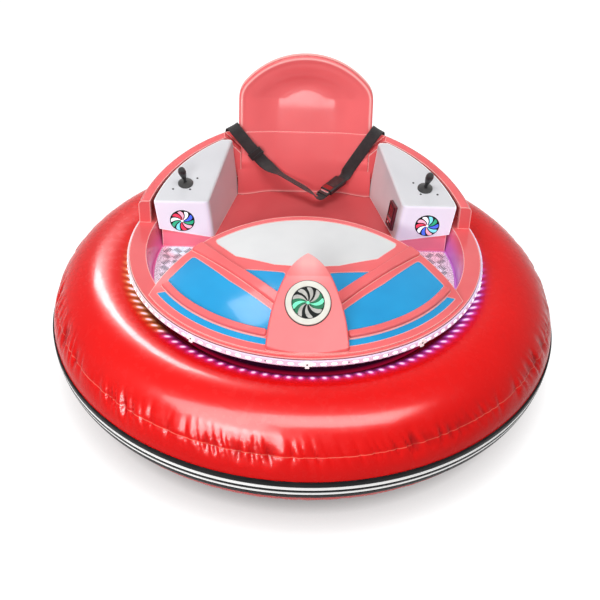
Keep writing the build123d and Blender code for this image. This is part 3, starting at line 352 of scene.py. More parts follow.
# %% Weave group
weave_group, entry, result = new_group("weave", [("Thread", 0.0016)], ["Height", "Mask"])
strap_place = split_vector(weave_group, weave_group.nodes.new("ShaderNodeTexCoord").outputs["UV"])
turns = math_node(weave_group, "DIVIDE", 2 * math.pi, entry["Thread"])
warp, weft = (math_node(weave_group, "SINE", product(weave_group, strap_place[axis], turns)) for axis in "XY")
threads = math_node(weave_group, "ADD", product(weave_group, warp, weft, 0.5), 0.5)
weave_group.links.new(threads, result["Height"])
weave_group.links.new(ramp_node(weave_group, noise_node(weave_group, 55.0, 4.0), 0.35, 0.7), result["Mask"])

# %% [markdown]
# Every material starts from the same few lines: a Principled shader, a base colour that the tone mask moves
# between two shades, a roughness that follows the fine mask, and a bump from the grain. Constant values
# go straight on the shader's sockets, because an exported model keeps them there.

# %% Material helpers
DUST_COLOUR = (0.55, 0.52, 0.48)


def place_group(tree, group, **values):
    """Places a group in a tree with its own values, and gives the group's outputs."""
    node = tree.nodes.new("ShaderNodeGroup")
    node.node_tree = group
    for label, value in values.items():
        node.inputs[label].default_value = value
    return node.outputs


def mix_colours(tree, mask, first, second):
    """A colour between two others, each a tuple or a socket."""
    node = tree.nodes.new("ShaderNodeMix")
    node.data_type = "RGBA"
    tree.links.new(mask, node.inputs[0])
    for socket, value in ((node.inputs[6], first), (node.inputs[7], second)):
        if isinstance(value, tuple):
            socket.default_value = (*value, 1.0)
        else:
            tree.links.new(value, socket)
    return node.outputs[2]


def add_bump(tree, height, strength, distance):
    """Bumps the shader's normal by a height."""
    node = tree.nodes.new("ShaderNodeBump")
    node.inputs["Strength"].default_value = strength
    node.inputs["Distance"].default_value = distance
    tree.links.new(height, node.inputs["Height"])
    tree.links.new(node.outputs["Normal"], tree.nodes["Principled BSDF"].inputs["Normal"])


def add_over_colour(material, mask, colour):
    """Mixes a colour over the one that already goes into the material's Base Color."""
    tree = material.node_tree
    base = tree.nodes["Principled BSDF"].inputs["Base Color"]
    tree.links.new(mix_colours(tree, mask, base.links[0].from_socket, colour), base)


def add_glow(material, mask, colour, rest=BLACK, strength=1.0):
    """Makes the material glow in one colour where the mask is 1 and in another where it is 0."""
    shader = material.node_tree.nodes["Principled BSDF"]
    glow_colour = mix_colours(material.node_tree, mask, rest, colour)
    material.node_tree.links.new(glow_colour, shader.inputs["Emission Color"])
    shader.inputs["Emission Strength"].default_value = strength


def finish(name, light, dark, rough, drift=6.0, grain=400.0, bump=0.00002, dust=0.0, wear=None, **shader_values):
    """A finish: two close shades, a roughness range, a grain, some dust and perhaps worn edges."""
    material = bpy.data.materials.new(name)
    material.use_nodes = True
    tree = material.node_tree
    shader = tree.nodes["Principled BSDF"]
    tone = place_group(tree, tone_group, Scale=drift)
    colour = mix_colours(tree, tone["Mask"], dark, light)
    roughness = tree.nodes.new("ShaderNodeMapRange")
    roughness.inputs["To Min"].default_value = rough[0]
    roughness.inputs["To Max"].default_value = rough[1]
    tree.links.new(tone["Fine"], roughness.inputs["Value"])
    rough_socket = roughness.outputs["Result"]
    if wear:
        worn = place_group(tree, wear_group, Radius=wear[1], Breakup=wear[2])
        colour = mix_colours(tree, worn["Mask"], colour, wear[0])
    if dust:
        share = product(tree, place_group(tree, dust_group)["Mask"], dust)
        colour = mix_colours(tree, share, colour, DUST_COLOUR)
        rough_socket = math_node(tree, "ADD", rough_socket, product(tree, share, 0.5))
    tree.links.new(colour, shader.inputs["Base Color"])
    tree.links.new(rough_socket, shader.inputs["Roughness"])
    add_bump(tree, place_group(tree, grain_group, Scale=grain)["Height"], 1.0, bump)
    for label, value in shader_values.items():
        shader.inputs[label.replace("_", " ")].default_value = value
    return material


# %% [markdown]
# The finishes themselves. Gel coat is a coloured resin under a clear gloss, so it has a coat; the vinyl ring
# is glossy too, but softer and stretched, with a very slight waviness. Colours are linear values, picked so
# that they render as the photograph shows them in the lit areas.

# %% Gel coat, vinyl and rubber
coral = finish(
    "coral gel coat", (0.90, 0.150, 0.158), (0.82, 0.122, 0.130), (0.16, 0.26),
    drift=5.0, grain=260.0, bump=0.00003, dust=0.03, Coat_Weight=0.25, Coat_Roughness=0.05,
    Specular_IOR_Level=0.22,
)
white_coat = finish(
    "white gel coat", (0.70, 0.705, 0.735), (0.655, 0.66, 0.69), (0.16, 0.26),
    drift=7.0, grain=260.0, bump=0.00003, dust=0.03, Coat_Weight=0.25, Coat_Roughness=0.05,
    Specular_IOR_Level=0.25,
)
panel_white = finish(
    "white inlay", (0.75, 0.76, 0.765), (0.70, 0.71, 0.72), (0.12, 0.2),
    drift=8.0, grain=300.0, bump=0.00002, Coat_Weight=0.25, Coat_Roughness=0.04, Specular_IOR_Level=0.25,
)
panel_blue = finish(
    "blue inlay", (0.006, 0.35, 0.72), (0.004, 0.31, 0.66), (0.12, 0.2),
    drift=8.0, grain=300.0, bump=0.00002, Coat_Weight=0.25, Coat_Roughness=0.04, Specular_IOR_Level=0.2,
)
vinyl = finish(
    "red vinyl", (0.82, 0.007, 0.006), (0.77, 0.005, 0.005), (0.22, 0.30),
    drift=3.0, grain=90.0, bump=0.00010, Coat_Weight=0.07, Coat_Roughness=0.09, Specular_IOR_Level=0.07,
)
strip_black = finish(
    "strip rubber", (0.012, 0.012, 0.013), (0.007, 0.007, 0.008), (0.34, 0.5),
    drift=9.0, grain=900.0, bump=0.00006, dust=0.05, Specular_IOR_Level=0.10,
)
# The white lines also glow a little: a painted brightness.
strip_white = finish(
    "strip lines", (0.95, 0.95, 0.94), (0.86, 0.86, 0.85), (0.3, 0.45),
    drift=14.0, grain=900.0, bump=0.00004, dust=0.03, Emission_Color=(1.0, 1.0, 1.0, 1.0), Emission_Strength=0.22,
)

# %% [markdown]
# Some of these finishes carry more. The vinyl gets its paler weld lines, and gel coat a painted highlight on its
# edges. The shell's well is painted with the colour of the lights that run round it: pink on the left and violet on
# the right, low in the well. Outside, under the light strip, painted shade makes the shell nearly black, down to its
# foot, where the ring's red light is painted on as a glow. Ranges are in metres and say where a mask is 0 and where it
# is 1.

# %% Weld lines, painted edge highlights and the painted light of the well
WELD_ANGLES = (25.0, -52.0)
EDGE_HIGHLIGHT_RADIUS = 0.0055
WELL_WALL = (0.4662, 0.455)
WELL_DEPTH = (0.42, 0.33)
LEFT_TO_RIGHT = (-0.1, 0.3)
UNDER_RIM = (0.3975, 0.3965)
SHELL_FOOT = (0.309, 0.299)


def variant(material, name):
    """A copy of a material under its own name, and the copy's node tree."""
    copy = material.copy()
    copy.name = name
    return copy, copy.node_tree


for angle in WELD_ANGLES:
    weld = place_group(vinyl.node_tree, weld_group, Angle=angle, Width=0.6)
    add_over_colour(vinyl, product(vinyl.node_tree, weld["Mask"], 0.8), (1.0, 0.24, 0.17))
# Painted highlight: a pale line along every edge of the coral and the white gel coat.
for material, colour, strength in ((coral, (1.0, 0.60, 0.56), 0.75), (white_coat, WHITE, 0.9)):
    edges = place_group(material.node_tree, edge_highlight_group, Radius=EDGE_HIGHLIGHT_RADIUS)
    add_over_colour(material, product(material.node_tree, edges["Mask"], strength), colour)

# A copy of the coral that carries painted light and painted shade, for the base shell.
coral_painted_light, tree = variant(coral, "coral gel coat, painted light")
place = point_place(tree)
normal = point_normal(tree)
reach = hypotenuse(tree, place["X"], place["Y"])
outward = math_node(tree, "DIVIDE", math_node(
    tree, "ADD", product(tree, place["X"], normal["X"]), product(tree, place["Y"], normal["Y"])), reach)
# Painted light: pink to violet from the lights round the rim, low in the well.
painted_led_light = product(tree, ramp_node(tree, reach, *WELL_WALL), ramp_node(tree, place["Z"], *WELL_DEPTH), 0.8)
to_the_right = ramp_node(tree, place["X"], *LEFT_TO_RIGHT)
add_over_colour(coral_painted_light, painted_led_light, mix_colours(tree, to_the_right, (0.82, 0.17, 0.50), (0.66, 0.24, 0.90)))
faces_out = ramp_node(tree, outward, 0.1, 0.5)
faces_down = ramp_node(tree, normal["Z"], -0.3, -0.7)
# Painted shade: nearly black where the shell faces out or down under the rim.
painted_shade_under_rim = product(tree, math_node(tree, "MAXIMUM", faces_out, faces_down), ramp_node(tree, place["Z"], *UNDER_RIM))
add_over_colour(coral_painted_light, painted_shade_under_rim, (0.030, 0.004, 0.022))
# Painted light: the ring's red light as a glow on the shell's outer foot.
add_glow(coral_painted_light, product(tree, faces_out, ramp_node(tree, place["Z"], *SHELL_FOOT)), (0.22, 0.003, 0.022))
print("lit well", coral_painted_light.name)

# %% [markdown]
# The same lights are painted on as glows: a soft pink on the plinths below the consoles and a lavender on the
# consoles' fronts.
# The seat gets painted shade low between the consoles, and a painted highlight on the crest of its rolled lip and on
# the crease at its foot; the seat piece further down carries that mask. The pod gets a painted highlight above its
# lamp, where it faces the sky.

# %% Seat, pod and consoles
SEAT_SHADE = (0.46, 0.36)
SEAT_MIDDLE = (0.30, 0.25)
PLINTH_TOP = (0.375, 0.36)
PLINTH_FRONT = (0.16, 0.13)
POD_TOP = (-0.365, -0.31)
POD_MIDDLE = (0.065, 0.015)

coral_seat, tree = variant(coral, "coral gel coat, seat")
place = point_place(tree)
aside = math_node(tree, "ABSOLUTE", place["X"])
# Painted shade: the seat is darker low between the consoles.
shade = product(tree, ramp_node(tree, place["Z"], *SEAT_SHADE), ramp_node(tree, aside, *SEAT_MIDDLE), 0.6)
add_over_colour(coral_seat, shade, (0.58, 0.080, 0.088))
# Painted light: a soft pink glow on the plinths below the consoles.
plinth_painted_glow = product(tree, ramp_node(tree, point_normal(tree)["Y"], -0.5, -0.9),
                 ramp_node(tree, place["Z"], *PLINTH_TOP), ramp_node(tree, place["Y"], *PLINTH_FRONT))
add_glow(coral_seat, plinth_painted_glow, (0.24, 0.075, 0.15))
# Painted highlight: the seat skin's points carry a pale line on the lip's crest and at the back's foot.
crest_highlight = tree.nodes.new("ShaderNodeAttribute")
crest_highlight.attribute_name = "crest_highlight"
add_over_colour(coral_seat, crest_highlight.outputs["Fac"], (1.0, 0.52, 0.50))

coral_pod, tree = variant(coral, "coral gel coat, pod")
place = point_place(tree)
aside = math_node(tree, "ABSOLUTE", place["X"])
# Painted highlight: the pod is paler above its lamp.
pod_painted_highlight = product(tree, ramp_node(tree, place["Y"], *POD_TOP), ramp_node(tree, aside, *POD_MIDDLE), 0.75)
add_over_colour(coral_pod, pod_painted_highlight, (1.0, 0.50, 0.49))

# Painted light: a lavender glow on the consoles' fronts.
console_painted_glow = ramp_node(white_coat.node_tree, point_normal(white_coat.node_tree)["Y"], -0.55, -0.95)
add_glow(white_coat, console_painted_glow, (0.34, 0.29, 0.40))
print("seat", coral_seat.name, "pod", coral_pod.name)

# %% [markdown]
# Black grips and boots are fine-grained and less shiny. Steel parts are painted with bright worn corners,
# zinc-plated parts are metal with a cloudy drift, and the rolling parts are plain grey and black.

# %% Hard small parts
grip_black = finish(
    "grip black", (0.018, 0.018, 0.019), (0.010, 0.010, 0.011), (0.28, 0.42),
    drift=40.0, grain=1600.0, bump=0.00005, dust=0.1, Coat_Weight=0.3, Coat_Roughness=0.15,
)
frame_paint = finish(
    "frame paint", (0.035, 0.035, 0.038), (0.02, 0.02, 0.022), (0.38, 0.55),
    drift=10.0, grain=700.0, bump=0.00008, dust=0.35, wear=((0.35, 0.34, 0.33), 0.0025, 160.0),
)
zinc = finish(
    "zinc plate", (0.62, 0.62, 0.60), (0.48, 0.48, 0.47), (0.28, 0.45),
    drift=50.0, grain=500.0, bump=0.00004, dust=0.15, Metallic=1.0,
)
chrome = finish(
    "bright chrome", (0.80, 0.80, 0.82), (0.72, 0.72, 0.74), (0.06, 0.14),
    drift=50.0, grain=500.0, bump=0.00001, Metallic=1.0,
)
plate_metal = finish(
    "tread plate metal", (0.88, 0.87, 0.92), (0.74, 0.73, 0.80), (0.16, 0.34),
    drift=22.0, grain=600.0, bump=0.00006, dust=0.05, Metallic=0.6,
)
# The plate is painted with light: it glows faintly all over, and a cyan spot is a painted reflection of a light in the
# well.
CYAN_REFLECTION_SPOT = (-0.378, 0.100, 0.318)
plate_tree = plate_metal.node_tree
from_spot = plate_tree.nodes.new("ShaderNodeVectorMath")
from_spot.operation = "DISTANCE"
from_spot.inputs[1].default_value = CYAN_REFLECTION_SPOT
plate_tree.links.new(plate_tree.nodes.new("ShaderNodeTexCoord").outputs["Object"], from_spot.inputs[0])
near_cyan_reflection = ramp_node(plate_tree, from_spot.outputs["Value"], 0.045, 0.022)
add_glow(plate_metal, near_cyan_reflection, (0.05, 0.55, 0.62), rest=(0.20, 0.17, 0.22))
bar_metal = finish(
    "tread bar metal", (0.20, 0.18, 0.22), (0.10, 0.09, 0.12), (0.2, 0.36),
    drift=40.0, grain=600.0, bump=0.00004, Metallic=0.7,
)
battery_plastic = finish(
    "battery case", (0.055, 0.055, 0.06), (0.035, 0.035, 0.04), (0.4, 0.55),
    drift=12.0, grain=900.0, bump=0.00008, dust=0.4,
)
motor_paint = finish(
    "motor paint", (0.075, 0.075, 0.082), (0.045, 0.045, 0.05), (0.3, 0.45),
    drift=20.0, grain=800.0, bump=0.00006, dust=0.3, wear=((0.4, 0.4, 0.4), 0.0015, 200.0),
)
wheel_grey = finish(
    "wheel grey", (0.28, 0.29, 0.30), (0.2, 0.205, 0.21), (0.35, 0.5),
    drift=30.0, grain=900.0, bump=0.00006, dust=0.3,
)
tyre_rubber = finish(
    "tyre rubber", (0.022, 0.022, 0.022), (0.012, 0.012, 0.012), (0.6, 0.8),
    drift=30.0, grain=1200.0, bump=0.00012, dust=0.4,
)
# The white clips glow a little: painted light that lifts them out of their shade.
clip_white = finish(
    "clip white", (0.94, 0.94, 0.96), (0.86, 0.86, 0.88), (0.25, 0.35),
    drift=60.0, grain=900.0, bump=0.00003, Emission_Color=(1.0, 1.0, 1.0, 1.0), Emission_Strength=0.3,
)
bezel_white = finish(
    "bezel white", (0.80, 0.79, 0.72), (0.72, 0.71, 0.64), (0.2, 0.3),
    drift=30.0, grain=700.0, bump=0.00003, Coat_Weight=0.2, Coat_Roughness=0.08, Specular_IOR_Level=0.25,
)
lamp_black = finish(
    "lamp black", (0.008, 0.012, 0.011), (0.004, 0.006, 0.005), (0.08, 0.16),
    drift=60.0, grain=900.0, bump=0.00001, Coat_Weight=0.15, Coat_Roughness=0.03, Specular_IOR_Level=0.2,
)
panel_dark = finish(
    "panel dark red", (0.16, 0.008, 0.018), (0.085, 0.004, 0.010), (0.12, 0.22),
    drift=40.0, grain=900.0, bump=0.00002, Coat_Weight=0.6, Coat_Roughness=0.05,
)
webbing = finish(
    "belt webbing", (0.030, 0.026, 0.027), (0.016, 0.014, 0.015), (0.55, 0.75),
    drift=20.0, grain=2400.0, bump=0.00002, dust=0.05, Sheen_Weight=0.25, Sheen_Roughness=0.4,
)
weave = place_group(webbing.node_tree, weave_group, Thread=0.0021)
add_bump(webbing.node_tree, weave["Height"], 0.8, 0.0003)
add_over_colour(webbing, product(webbing.node_tree, weave["Mask"], 0.3), (0.055, 0.048, 0.05))
button_red = finish(
    "buckle button red", (0.30, 0.012, 0.014), (0.22, 0.008, 0.010), (0.25, 0.35),
    drift=40.0, grain=1200.0, bump=0.00003, Coat_Weight=0.3, Coat_Roughness=0.1,
)
print("materials", len(bpy.data.materials))

# %% [markdown]
# The carried-over CAD pieces only need their material slots filled. A table pairs each node with its finish;
# the nodes that a detailed piece replaces further down are left out of it.

# %% Dress the CAD nodes
CASTER_CORNERS = ("front_left", "front_right", "back_left", "back_right")
DRESS = {
    coral: ["hood", "wing_surround"],
    coral_pod: ["nose_pod"],
    coral_seat: ["seat_shell"],
    coral_painted_light: ["base_shell"],
    white_coat: ["console_left", "console_right"],
    grip_black: [
        "joystick_boots", "joystick_levers", "belt_slider", "belt_buckle", "belt_tongue", "inflation_valve",
    ],
    frame_paint: [
        "frame_hoop", "frame_rails", "frame_cross_bars", "frame_posts", "caster_mounts", "battery_tray",
        "belt_anchors",
    ],
    zinc: ["wheel_rim_left", "wheel_rim_right", *[f"caster_fork_{corner}" for corner in CASTER_CORNERS]],
    plate_metal: ["tread_plates"],
    battery_plastic: ["battery_pack"],
    motor_paint: ["gear_motors"],
    wheel_grey: [f"caster_wheel_{corner}" for corner in CASTER_CORNERS],
    clip_white: ["led_clips"],
    bezel_white: ["nose_light_bezel"],
    lamp_black: ["nose_light_lens", "console_lights"],
    panel_dark: ["control_panel"],
}
for material, names in DRESS.items():
    for name in names:
        nodes[name].data.materials.clear()
        nodes[name].data.materials.append(material)
print("dressed", sum(len(names) for names in DRESS.values()))

# %% [markdown]
# New pieces are made from points and faces by one helper, which also lets the piece ride on its body.
# Sizes are written in millimetres and scaled once, here. Most
# pieces are a grid of points, so another helper lays the faces over a grid.

# %% Piece helpers
MM = 0.001
RIGHTWARD = Vector((1.0, 0.0, 0.0))
BACKWARD = Vector((0.0, 1.0, 0.0))
UP = Vector((0.0, 0.0, 1.0))


def make_piece(name, points, faces, materials, slot, body="chassis", face_slots=None, smooth=True):
    """A mesh piece from points in millimetres; face_slots gives each face's material number."""
    mesh = bpy.data.meshes.new(name)
    mesh.from_pydata([tuple(value * MM for value in point) for point in points], [], faces)
    for material in materials:
        mesh.materials.append(material)
    if face_slots:
        mesh.polygons.foreach_set("material_index", face_slots)
    mesh.polygons.foreach_set("use_smooth", [smooth] * len(mesh.polygons))
    mesh.update()
    tidy = bmesh.new()
    tidy.from_mesh(mesh)
    bmesh.ops.recalc_face_normals(tidy, faces=tidy.faces)
    tidy.to_mesh(mesh)
    tidy.free()
    piece = bpy.data.objects.new(name, mesh)
    scene.collection.objects.link(piece)
    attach(piece, body)
    return piece


def grid_faces(rows, columns, rows_closed=False, columns_closed=False):
    """Quads over points stored row by row; a closed direction joins its last line to its first."""
    faces = []
    for row in range(rows if rows_closed else rows - 1):
        here, ahead = row * columns, (row + 1) % rows * columns
        for column in range(columns if columns_closed else columns - 1):
            after = (column + 1) % columns
            faces.append((here + column, ahead + column, ahead + after, here + after))
    return faces


def join(shapes):
    """Several (points, faces) put into one."""
    points = []
    faces = []
    for shape_points, shape_faces in shapes:
        start = len(points)
        points += [tuple(point) for point in shape_points]
        faces += [tuple(index + start for index in face) for face in shape_faces]
    return points, faces


def dome_patch(centre, along, up, out, half_long, half_tall, height, rings=3, sides=12):
    """Points and faces of a low oval dome on a surface."""
    points = [centre + out * height]
    faces = []
    for ring in range(1, rings + 1):
        share = ring / rings
        lift = height * math.sqrt(max(0.0, 1 - share**2))
        for side in range(sides):
            angle = 2 * math.pi * side / sides
            points.append(
                centre + along * (half_long * share * math.cos(angle))
                + up * (half_tall * share * math.sin(angle)) + out * lift
            )
    for side in range(sides):
        after = (side + 1) % sides
        faces.append((0, 1 + side, 1 + after))
        for ring in range(rings - 1):
            a = 1 + ring * sides
            b = a + sides
            faces.append((a + side, b + side, b + after, a + after))
    return points, faces


def smooth_share(value, low, high):
    """0 below low, 1 above high, and a smooth rise between them."""
    share = min(1.0, max(0.0, (value - low) / (high - low)))
    return share * share * (3 - 2 * share)


print("piece helpers ready")

# %% [markdown]
# ** The ring.** A real bumper ring is welded from flat vinyl gores, so the skin is drawn in along each weld
# and gathers into short puckers across it. A torus primitive would be too even, so the surface is built
# point by point: a round tube, a shallow groove at each weld, ridged noise that fades away from the weld,
# and a very low swell all round. Rows are closer together near the welds, where the puckers are. The depth
# of the folds is kept on the mesh, and painted shade darkens the vinyl at the bottom of a fold, where little light
# comes.

# %% Inflatable ring
ring_low, ring_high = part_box("inflatable_ring")
TUBE_RADIUS = (ring_high.z - ring_low.z) / 2 / MM
TUBE_MID_Z = (ring_high.z + ring_low.z) / 2 / MM
TUBE_MID_RADIUS = ring_high.x / MM - TUBE_RADIUS
WELDS = [
    # tube angle in degrees, pucker height in mm
    (25.0, 12.0),
    (-52.0, 6.0),
    (138.0, 3.0),
]
RING_STEPS = 900
PUCKER_REACH = 13.0
PUCKER_END = 40.0
PUCKER_LEAN = 0.09
COARSE_FOLDS = 80.0
FINE_FOLDS = 150.0
GROOVE_DEPTH = 1.2
GROOVE_REACH = 1.6
ROW_STEPS = ((9.0, 1.6), (22.0, 3.0), (360.0, 6.0))


def tube_angles():
    """Angles round the tube, closer together near the welds."""
    angles = [-180.0]
    while angles[-1] < 180.0:
        nearest = min(abs(angles[-1] - weld) for weld, height in WELDS)
        angles.append(angles[-1] + next(step for reach, step in ROW_STEPS if nearest < reach))
    return angles[:-1]


def ridges(turn, seed, count):
    """Narrow folds that cross the weld, about count of them round the ring, uneven in place and in depth."""
    reach = count / (2 * math.pi)
    spot = Vector((reach * math.cos(turn), reach * math.sin(turn), seed))
    fold = 1.0 - min(1.0, abs(noise.noise(spot)) * 3.6)
    swell = 0.45 + 0.75 * noise.noise(Vector((spot.x / 4.0, spot.y / 4.0, seed + 7.0)))
    return fold**1.4 * max(0.0, swell)


def ring_dent(turn, tube_angle):
    """How far the skin lies under the round tube, in mm, and how deep in a fold the point is."""
    fold = 0.0
    dent = 0.35 + 0.35 * noise.noise(Vector((2.0 * math.cos(turn), 2.0 * math.sin(turn), tube_angle / 40.0)))
    for index, (weld, height) in enumerate(WELDS):
        away = tube_angle - weld
        if abs(away) > PUCKER_END:
            continue
        lean = turn + math.radians(PUCKER_LEAN * away)
        close = ridges(lean, index * 3.0, FINE_FOLDS) + 0.8 * ridges(turn, index * 5.0 + 1.0, COARSE_FOLDS)
        near_weld = math.exp(-((away / (PUCKER_REACH if away > 0 else 0.7 * PUCKER_REACH)) ** 2))
        dent += height * close * near_weld
        fold = max(fold, close * near_weld)
        dent += GROOVE_DEPTH * math.exp(-((away / GROOVE_REACH) ** 2))
    return dent, fold


ring_angles = tube_angles()
ring_points = []
ring_folds = []
for step in range(RING_STEPS):
    turn = 2 * math.pi * step / RING_STEPS
    for tube_angle in ring_angles:
        dent, fold = ring_dent(turn, tube_angle)
        ring_folds.append(fold)
        reach = TUBE_RADIUS - dent
        across = TUBE_MID_RADIUS + reach * math.cos(math.radians(tube_angle))
        height = TUBE_MID_Z + reach * math.sin(math.radians(tube_angle))
        ring_points.append((across * math.cos(turn), across * math.sin(turn), height))
ring_faces = grid_faces(RING_STEPS, len(ring_angles), rows_closed=True, columns_closed=True)
ring = make_piece("vinyl_ring", ring_points, ring_faces, [vinyl], "ring_vinyl")
ring.data.attributes.new("fold", "FLOAT", "POINT").data.foreach_set("value", ring_folds)
vinyl_tree = vinyl.node_tree
fold_value = vinyl_tree.nodes.new("ShaderNodeAttribute")
fold_value.attribute_name = "fold"
# Painted shade: the vinyl is darker deep in each fold.
deep = product(vinyl_tree, ramp_node(vinyl_tree, fold_value.outputs["Fac"], 0.25, 0.8), 0.75)
add_over_colour(vinyl, deep, (0.36, 0.0, 0.002))
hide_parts("inflatable_ring")
GLOSS_SETS["ring"].objects.link(ring)
print("ring rows", len(ring_angles), "quads", len(ring_faces))

# %% [markdown]
# **The seat back.** The CAD seat is a tray with a lip. The moulded one is softer: its lip is rolled over, and
# the back falls away from it in one smooth hollow. This skin lies over the tray and the lip. It is drawn in
# the back's own plane, from the lip's outline inwards: a low roll, then a long slope down to the tray.
# Low down, it reaches the consoles and closes the slit next to them.

# %% Seat back
BACK_ORIGIN = Vector((0.0, 397.0, 350.0))
BACK_RECLINE = math.radians(17.5)
BACK_SIDE = 211.0
BACK_HEIGHT = 428.0
ARC_CENTRE, ARC_RADIUS = 180.0, 256.0
CORNER_ACROSS, CORNER_UP, CORNER_RADIUS = 133.0, 298.3, 78.0
CORNER_TURN = 41.65
BACK_LEVELS = (0.0, 0.8, 2.0, 3.6, 5.6, 8.0, 10.4, 12.6, 14.8, 17.5, 21.0, 26.0, 32.0, 39.0, 47.0, 56.0, 66.0)
INNER_SHARES = (0.2, 0.45, 0.7, 1.0)
ROLL_MIDDLE = 8.5
ROLL_RISE = 3.0
SLOPE_END = 112.0
WING_FACE = 398.2
WING_LEVELS = (438.0, 478.0)
CONSOLE_TOP = 74.0
WING_TOP = 195.0
FOOT_REACH = 60.0


def back_point(across, up, out):
    return BACK_ORIGIN + Vector((
        across, up * math.sin(BACK_RECLINE) - out * math.cos(BACK_RECLINE),
        up * math.cos(BACK_RECLINE) + out * math.sin(BACK_RECLINE),
    ))


def back_edge():
    """Places on the lip's outline with their inward directions and the place that each runs in to."""
    # WING_TOP is also one of the even marks. Its doubled row shows as a thin pale line across the back.
    marks = sorted([5.0 * number for number in range(60)] + [
        CONSOLE_TOP, CONSOLE_TOP + 0.3, WING_TOP, WING_TOP + 0.3])
    right = [((BACK_SIDE, up), (-1.0, 0.0), (0.0, up)) for up in marks]
    corner_turns = [CORNER_TURN * step / 12 for step in range(13)]
    arc_turns = [CORNER_TURN + (90.0 - CORNER_TURN) * step / 18 for step in range(1, 19)]
    for (across, up, radius), turns in (((CORNER_ACROSS, CORNER_UP, CORNER_RADIUS), corner_turns),
                                        ((0.0, ARC_CENTRE, ARC_RADIUS), arc_turns)):
        for turn in turns:
            x, y = math.cos(math.radians(turn)), math.sin(math.radians(turn))
            right.append(((across + radius * x, up + radius * y), (-x, -y), (0.0, CORNER_UP)))
    left = [((-x, y), (-a, b), target) for (x, y), (a, b), target in reversed(right[:-1])]
    return right + left


def back_height(inside, up):
    """How far the skin stands out from the tray, and how much painted highlight the point gets near the roll's crest.
    """
    lip = 24.0 - 4.0 * up / BACK_HEIGHT
    front_y = BACK_ORIGIN.y + up * math.sin(BACK_RECLINE) - lip * math.cos(BACK_RECLINE)
    level_z = BACK_ORIGIN.z + up * math.cos(BACK_RECLINE) + lip * math.sin(BACK_RECLINE)
    to_wing = max(0.0, (front_y - WING_FACE) / math.cos(BACK_RECLINE)) * (1 - smooth_share(level_z, *WING_LEVELS))
    rolled = smooth_share(up, WING_TOP + 0.5, WING_TOP + 30.0)
    rise = ROLL_RISE * rolled
    spot = (inside - ROLL_MIDDLE) / ROLL_MIDDLE
    crest_highlight = rolled * max(0.0, 1 - abs(spot) * 1.7)
    top = lip + 0.35 + to_wing
    if inside < ROLL_MIDDLE:
        return top + rise * math.sqrt(max(0.0, 1 - spot * spot)), crest_highlight
    fall = smooth_share(inside, ROLL_MIDDLE, SLOPE_END)
    return 0.7 + (top - 0.7) * (1 - fall) + rise * (1 - smooth_share(inside, ROLL_MIDDLE, 24.0)), crest_highlight


skin_points = []
skin_highlight = []
edge_run = back_edge()
for (x, y), (in_x, in_y), (to_x, to_y) in edge_run:
    start = 0.0
    if y < CORNER_UP and abs(in_y) < 0.001:
        start = -2.0 if y <= CONSOLE_TOP else ROLL_MIDDLE + 0.1 if y <= WING_TOP else 0.0
    insides = [start] + [max(level, start + 0.02 * number) for number, level in enumerate(BACK_LEVELS)][1:]
    column = [(x + in_x * inside, y + in_y * inside, inside) for inside in insides]
    last_x, last_y, last_in = column[-1]
    for share in INNER_SHARES:
        column.append((last_x + (to_x - last_x) * share, last_y + (to_y - last_y) * share, last_in + 145.0 * share))
    for across, up, inside in column:
        out, crest_highlight = back_height(inside, up)
        foot = max(0.0, 1 - up / FOOT_REACH)
        skin_points.append(back_point(across, 1.0 + up - (out * math.tan(BACK_RECLINE) + 1.0) * foot + foot, out))
        # The painted highlight runs along the roll's crest and along the crease at the foot of the back.
        skin_highlight.append(max(crest_highlight, smooth_share(6.0 - up, 0.0, 5.0) * 0.8) * 0.9)
skin_faces = grid_faces(len(edge_run), len(BACK_LEVELS) + len(INNER_SHARES))
seat_skin = make_piece("seat_back_skin", skin_points, skin_faces, [coral_seat], "body_gloss")
seat_skin.data.attributes.new("crest_highlight", "FLOAT", "POINT").data.foreach_set("value", skin_highlight)
GLOSS_SETS["body"].objects.link(seat_skin)
print("seat skin quads", len(skin_faces))

# %% [markdown]
# **The rub strip.** An extruded rubber band with two thin white lines let into it. One turned profile makes
# it: the black lands stand a little higher than the white lines, as co-extruded rubber does.

# %% Rub strip
STRIP_OUT = cad_box[1].x / MM
strip_low, strip_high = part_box("rub_strip")
STRIP_TOP = strip_high.z / MM
STRIP_BOTTOM = strip_low.z / MM
strip_middle = (STRIP_TOP + STRIP_BOTTOM) / 2
strip_half = (STRIP_TOP - STRIP_BOTTOM) / 2
OUTER_TUBE = STRIP_OUT - TUBE_MID_RADIUS
INNER_TUBE = TUBE_RADIUS - 0.4
STRIP_BANDS = [
    # from and to as shares of the half height above the middle, sunk in mm, material number
    (-1.00, -0.96, 1.6, 0),
    (-0.96, -0.45, 0.0, 0),
    (-0.45, -0.14, 0.5, 1),
    (-0.14, 0.15, 0.0, 0),
    (0.15, 0.50, 0.5, 1),
    (0.50, 0.96, 0.0, 0),
    (0.96, 1.00, 1.6, 0),
]


def strip_place(share, tube):
    """A point of the strip's profile: its height by share, its radius on a tube of the given size."""
    z = strip_middle + share * strip_half
    return (TUBE_MID_RADIUS + math.sqrt(tube**2 - (z - TUBE_MID_Z) ** 2), z)


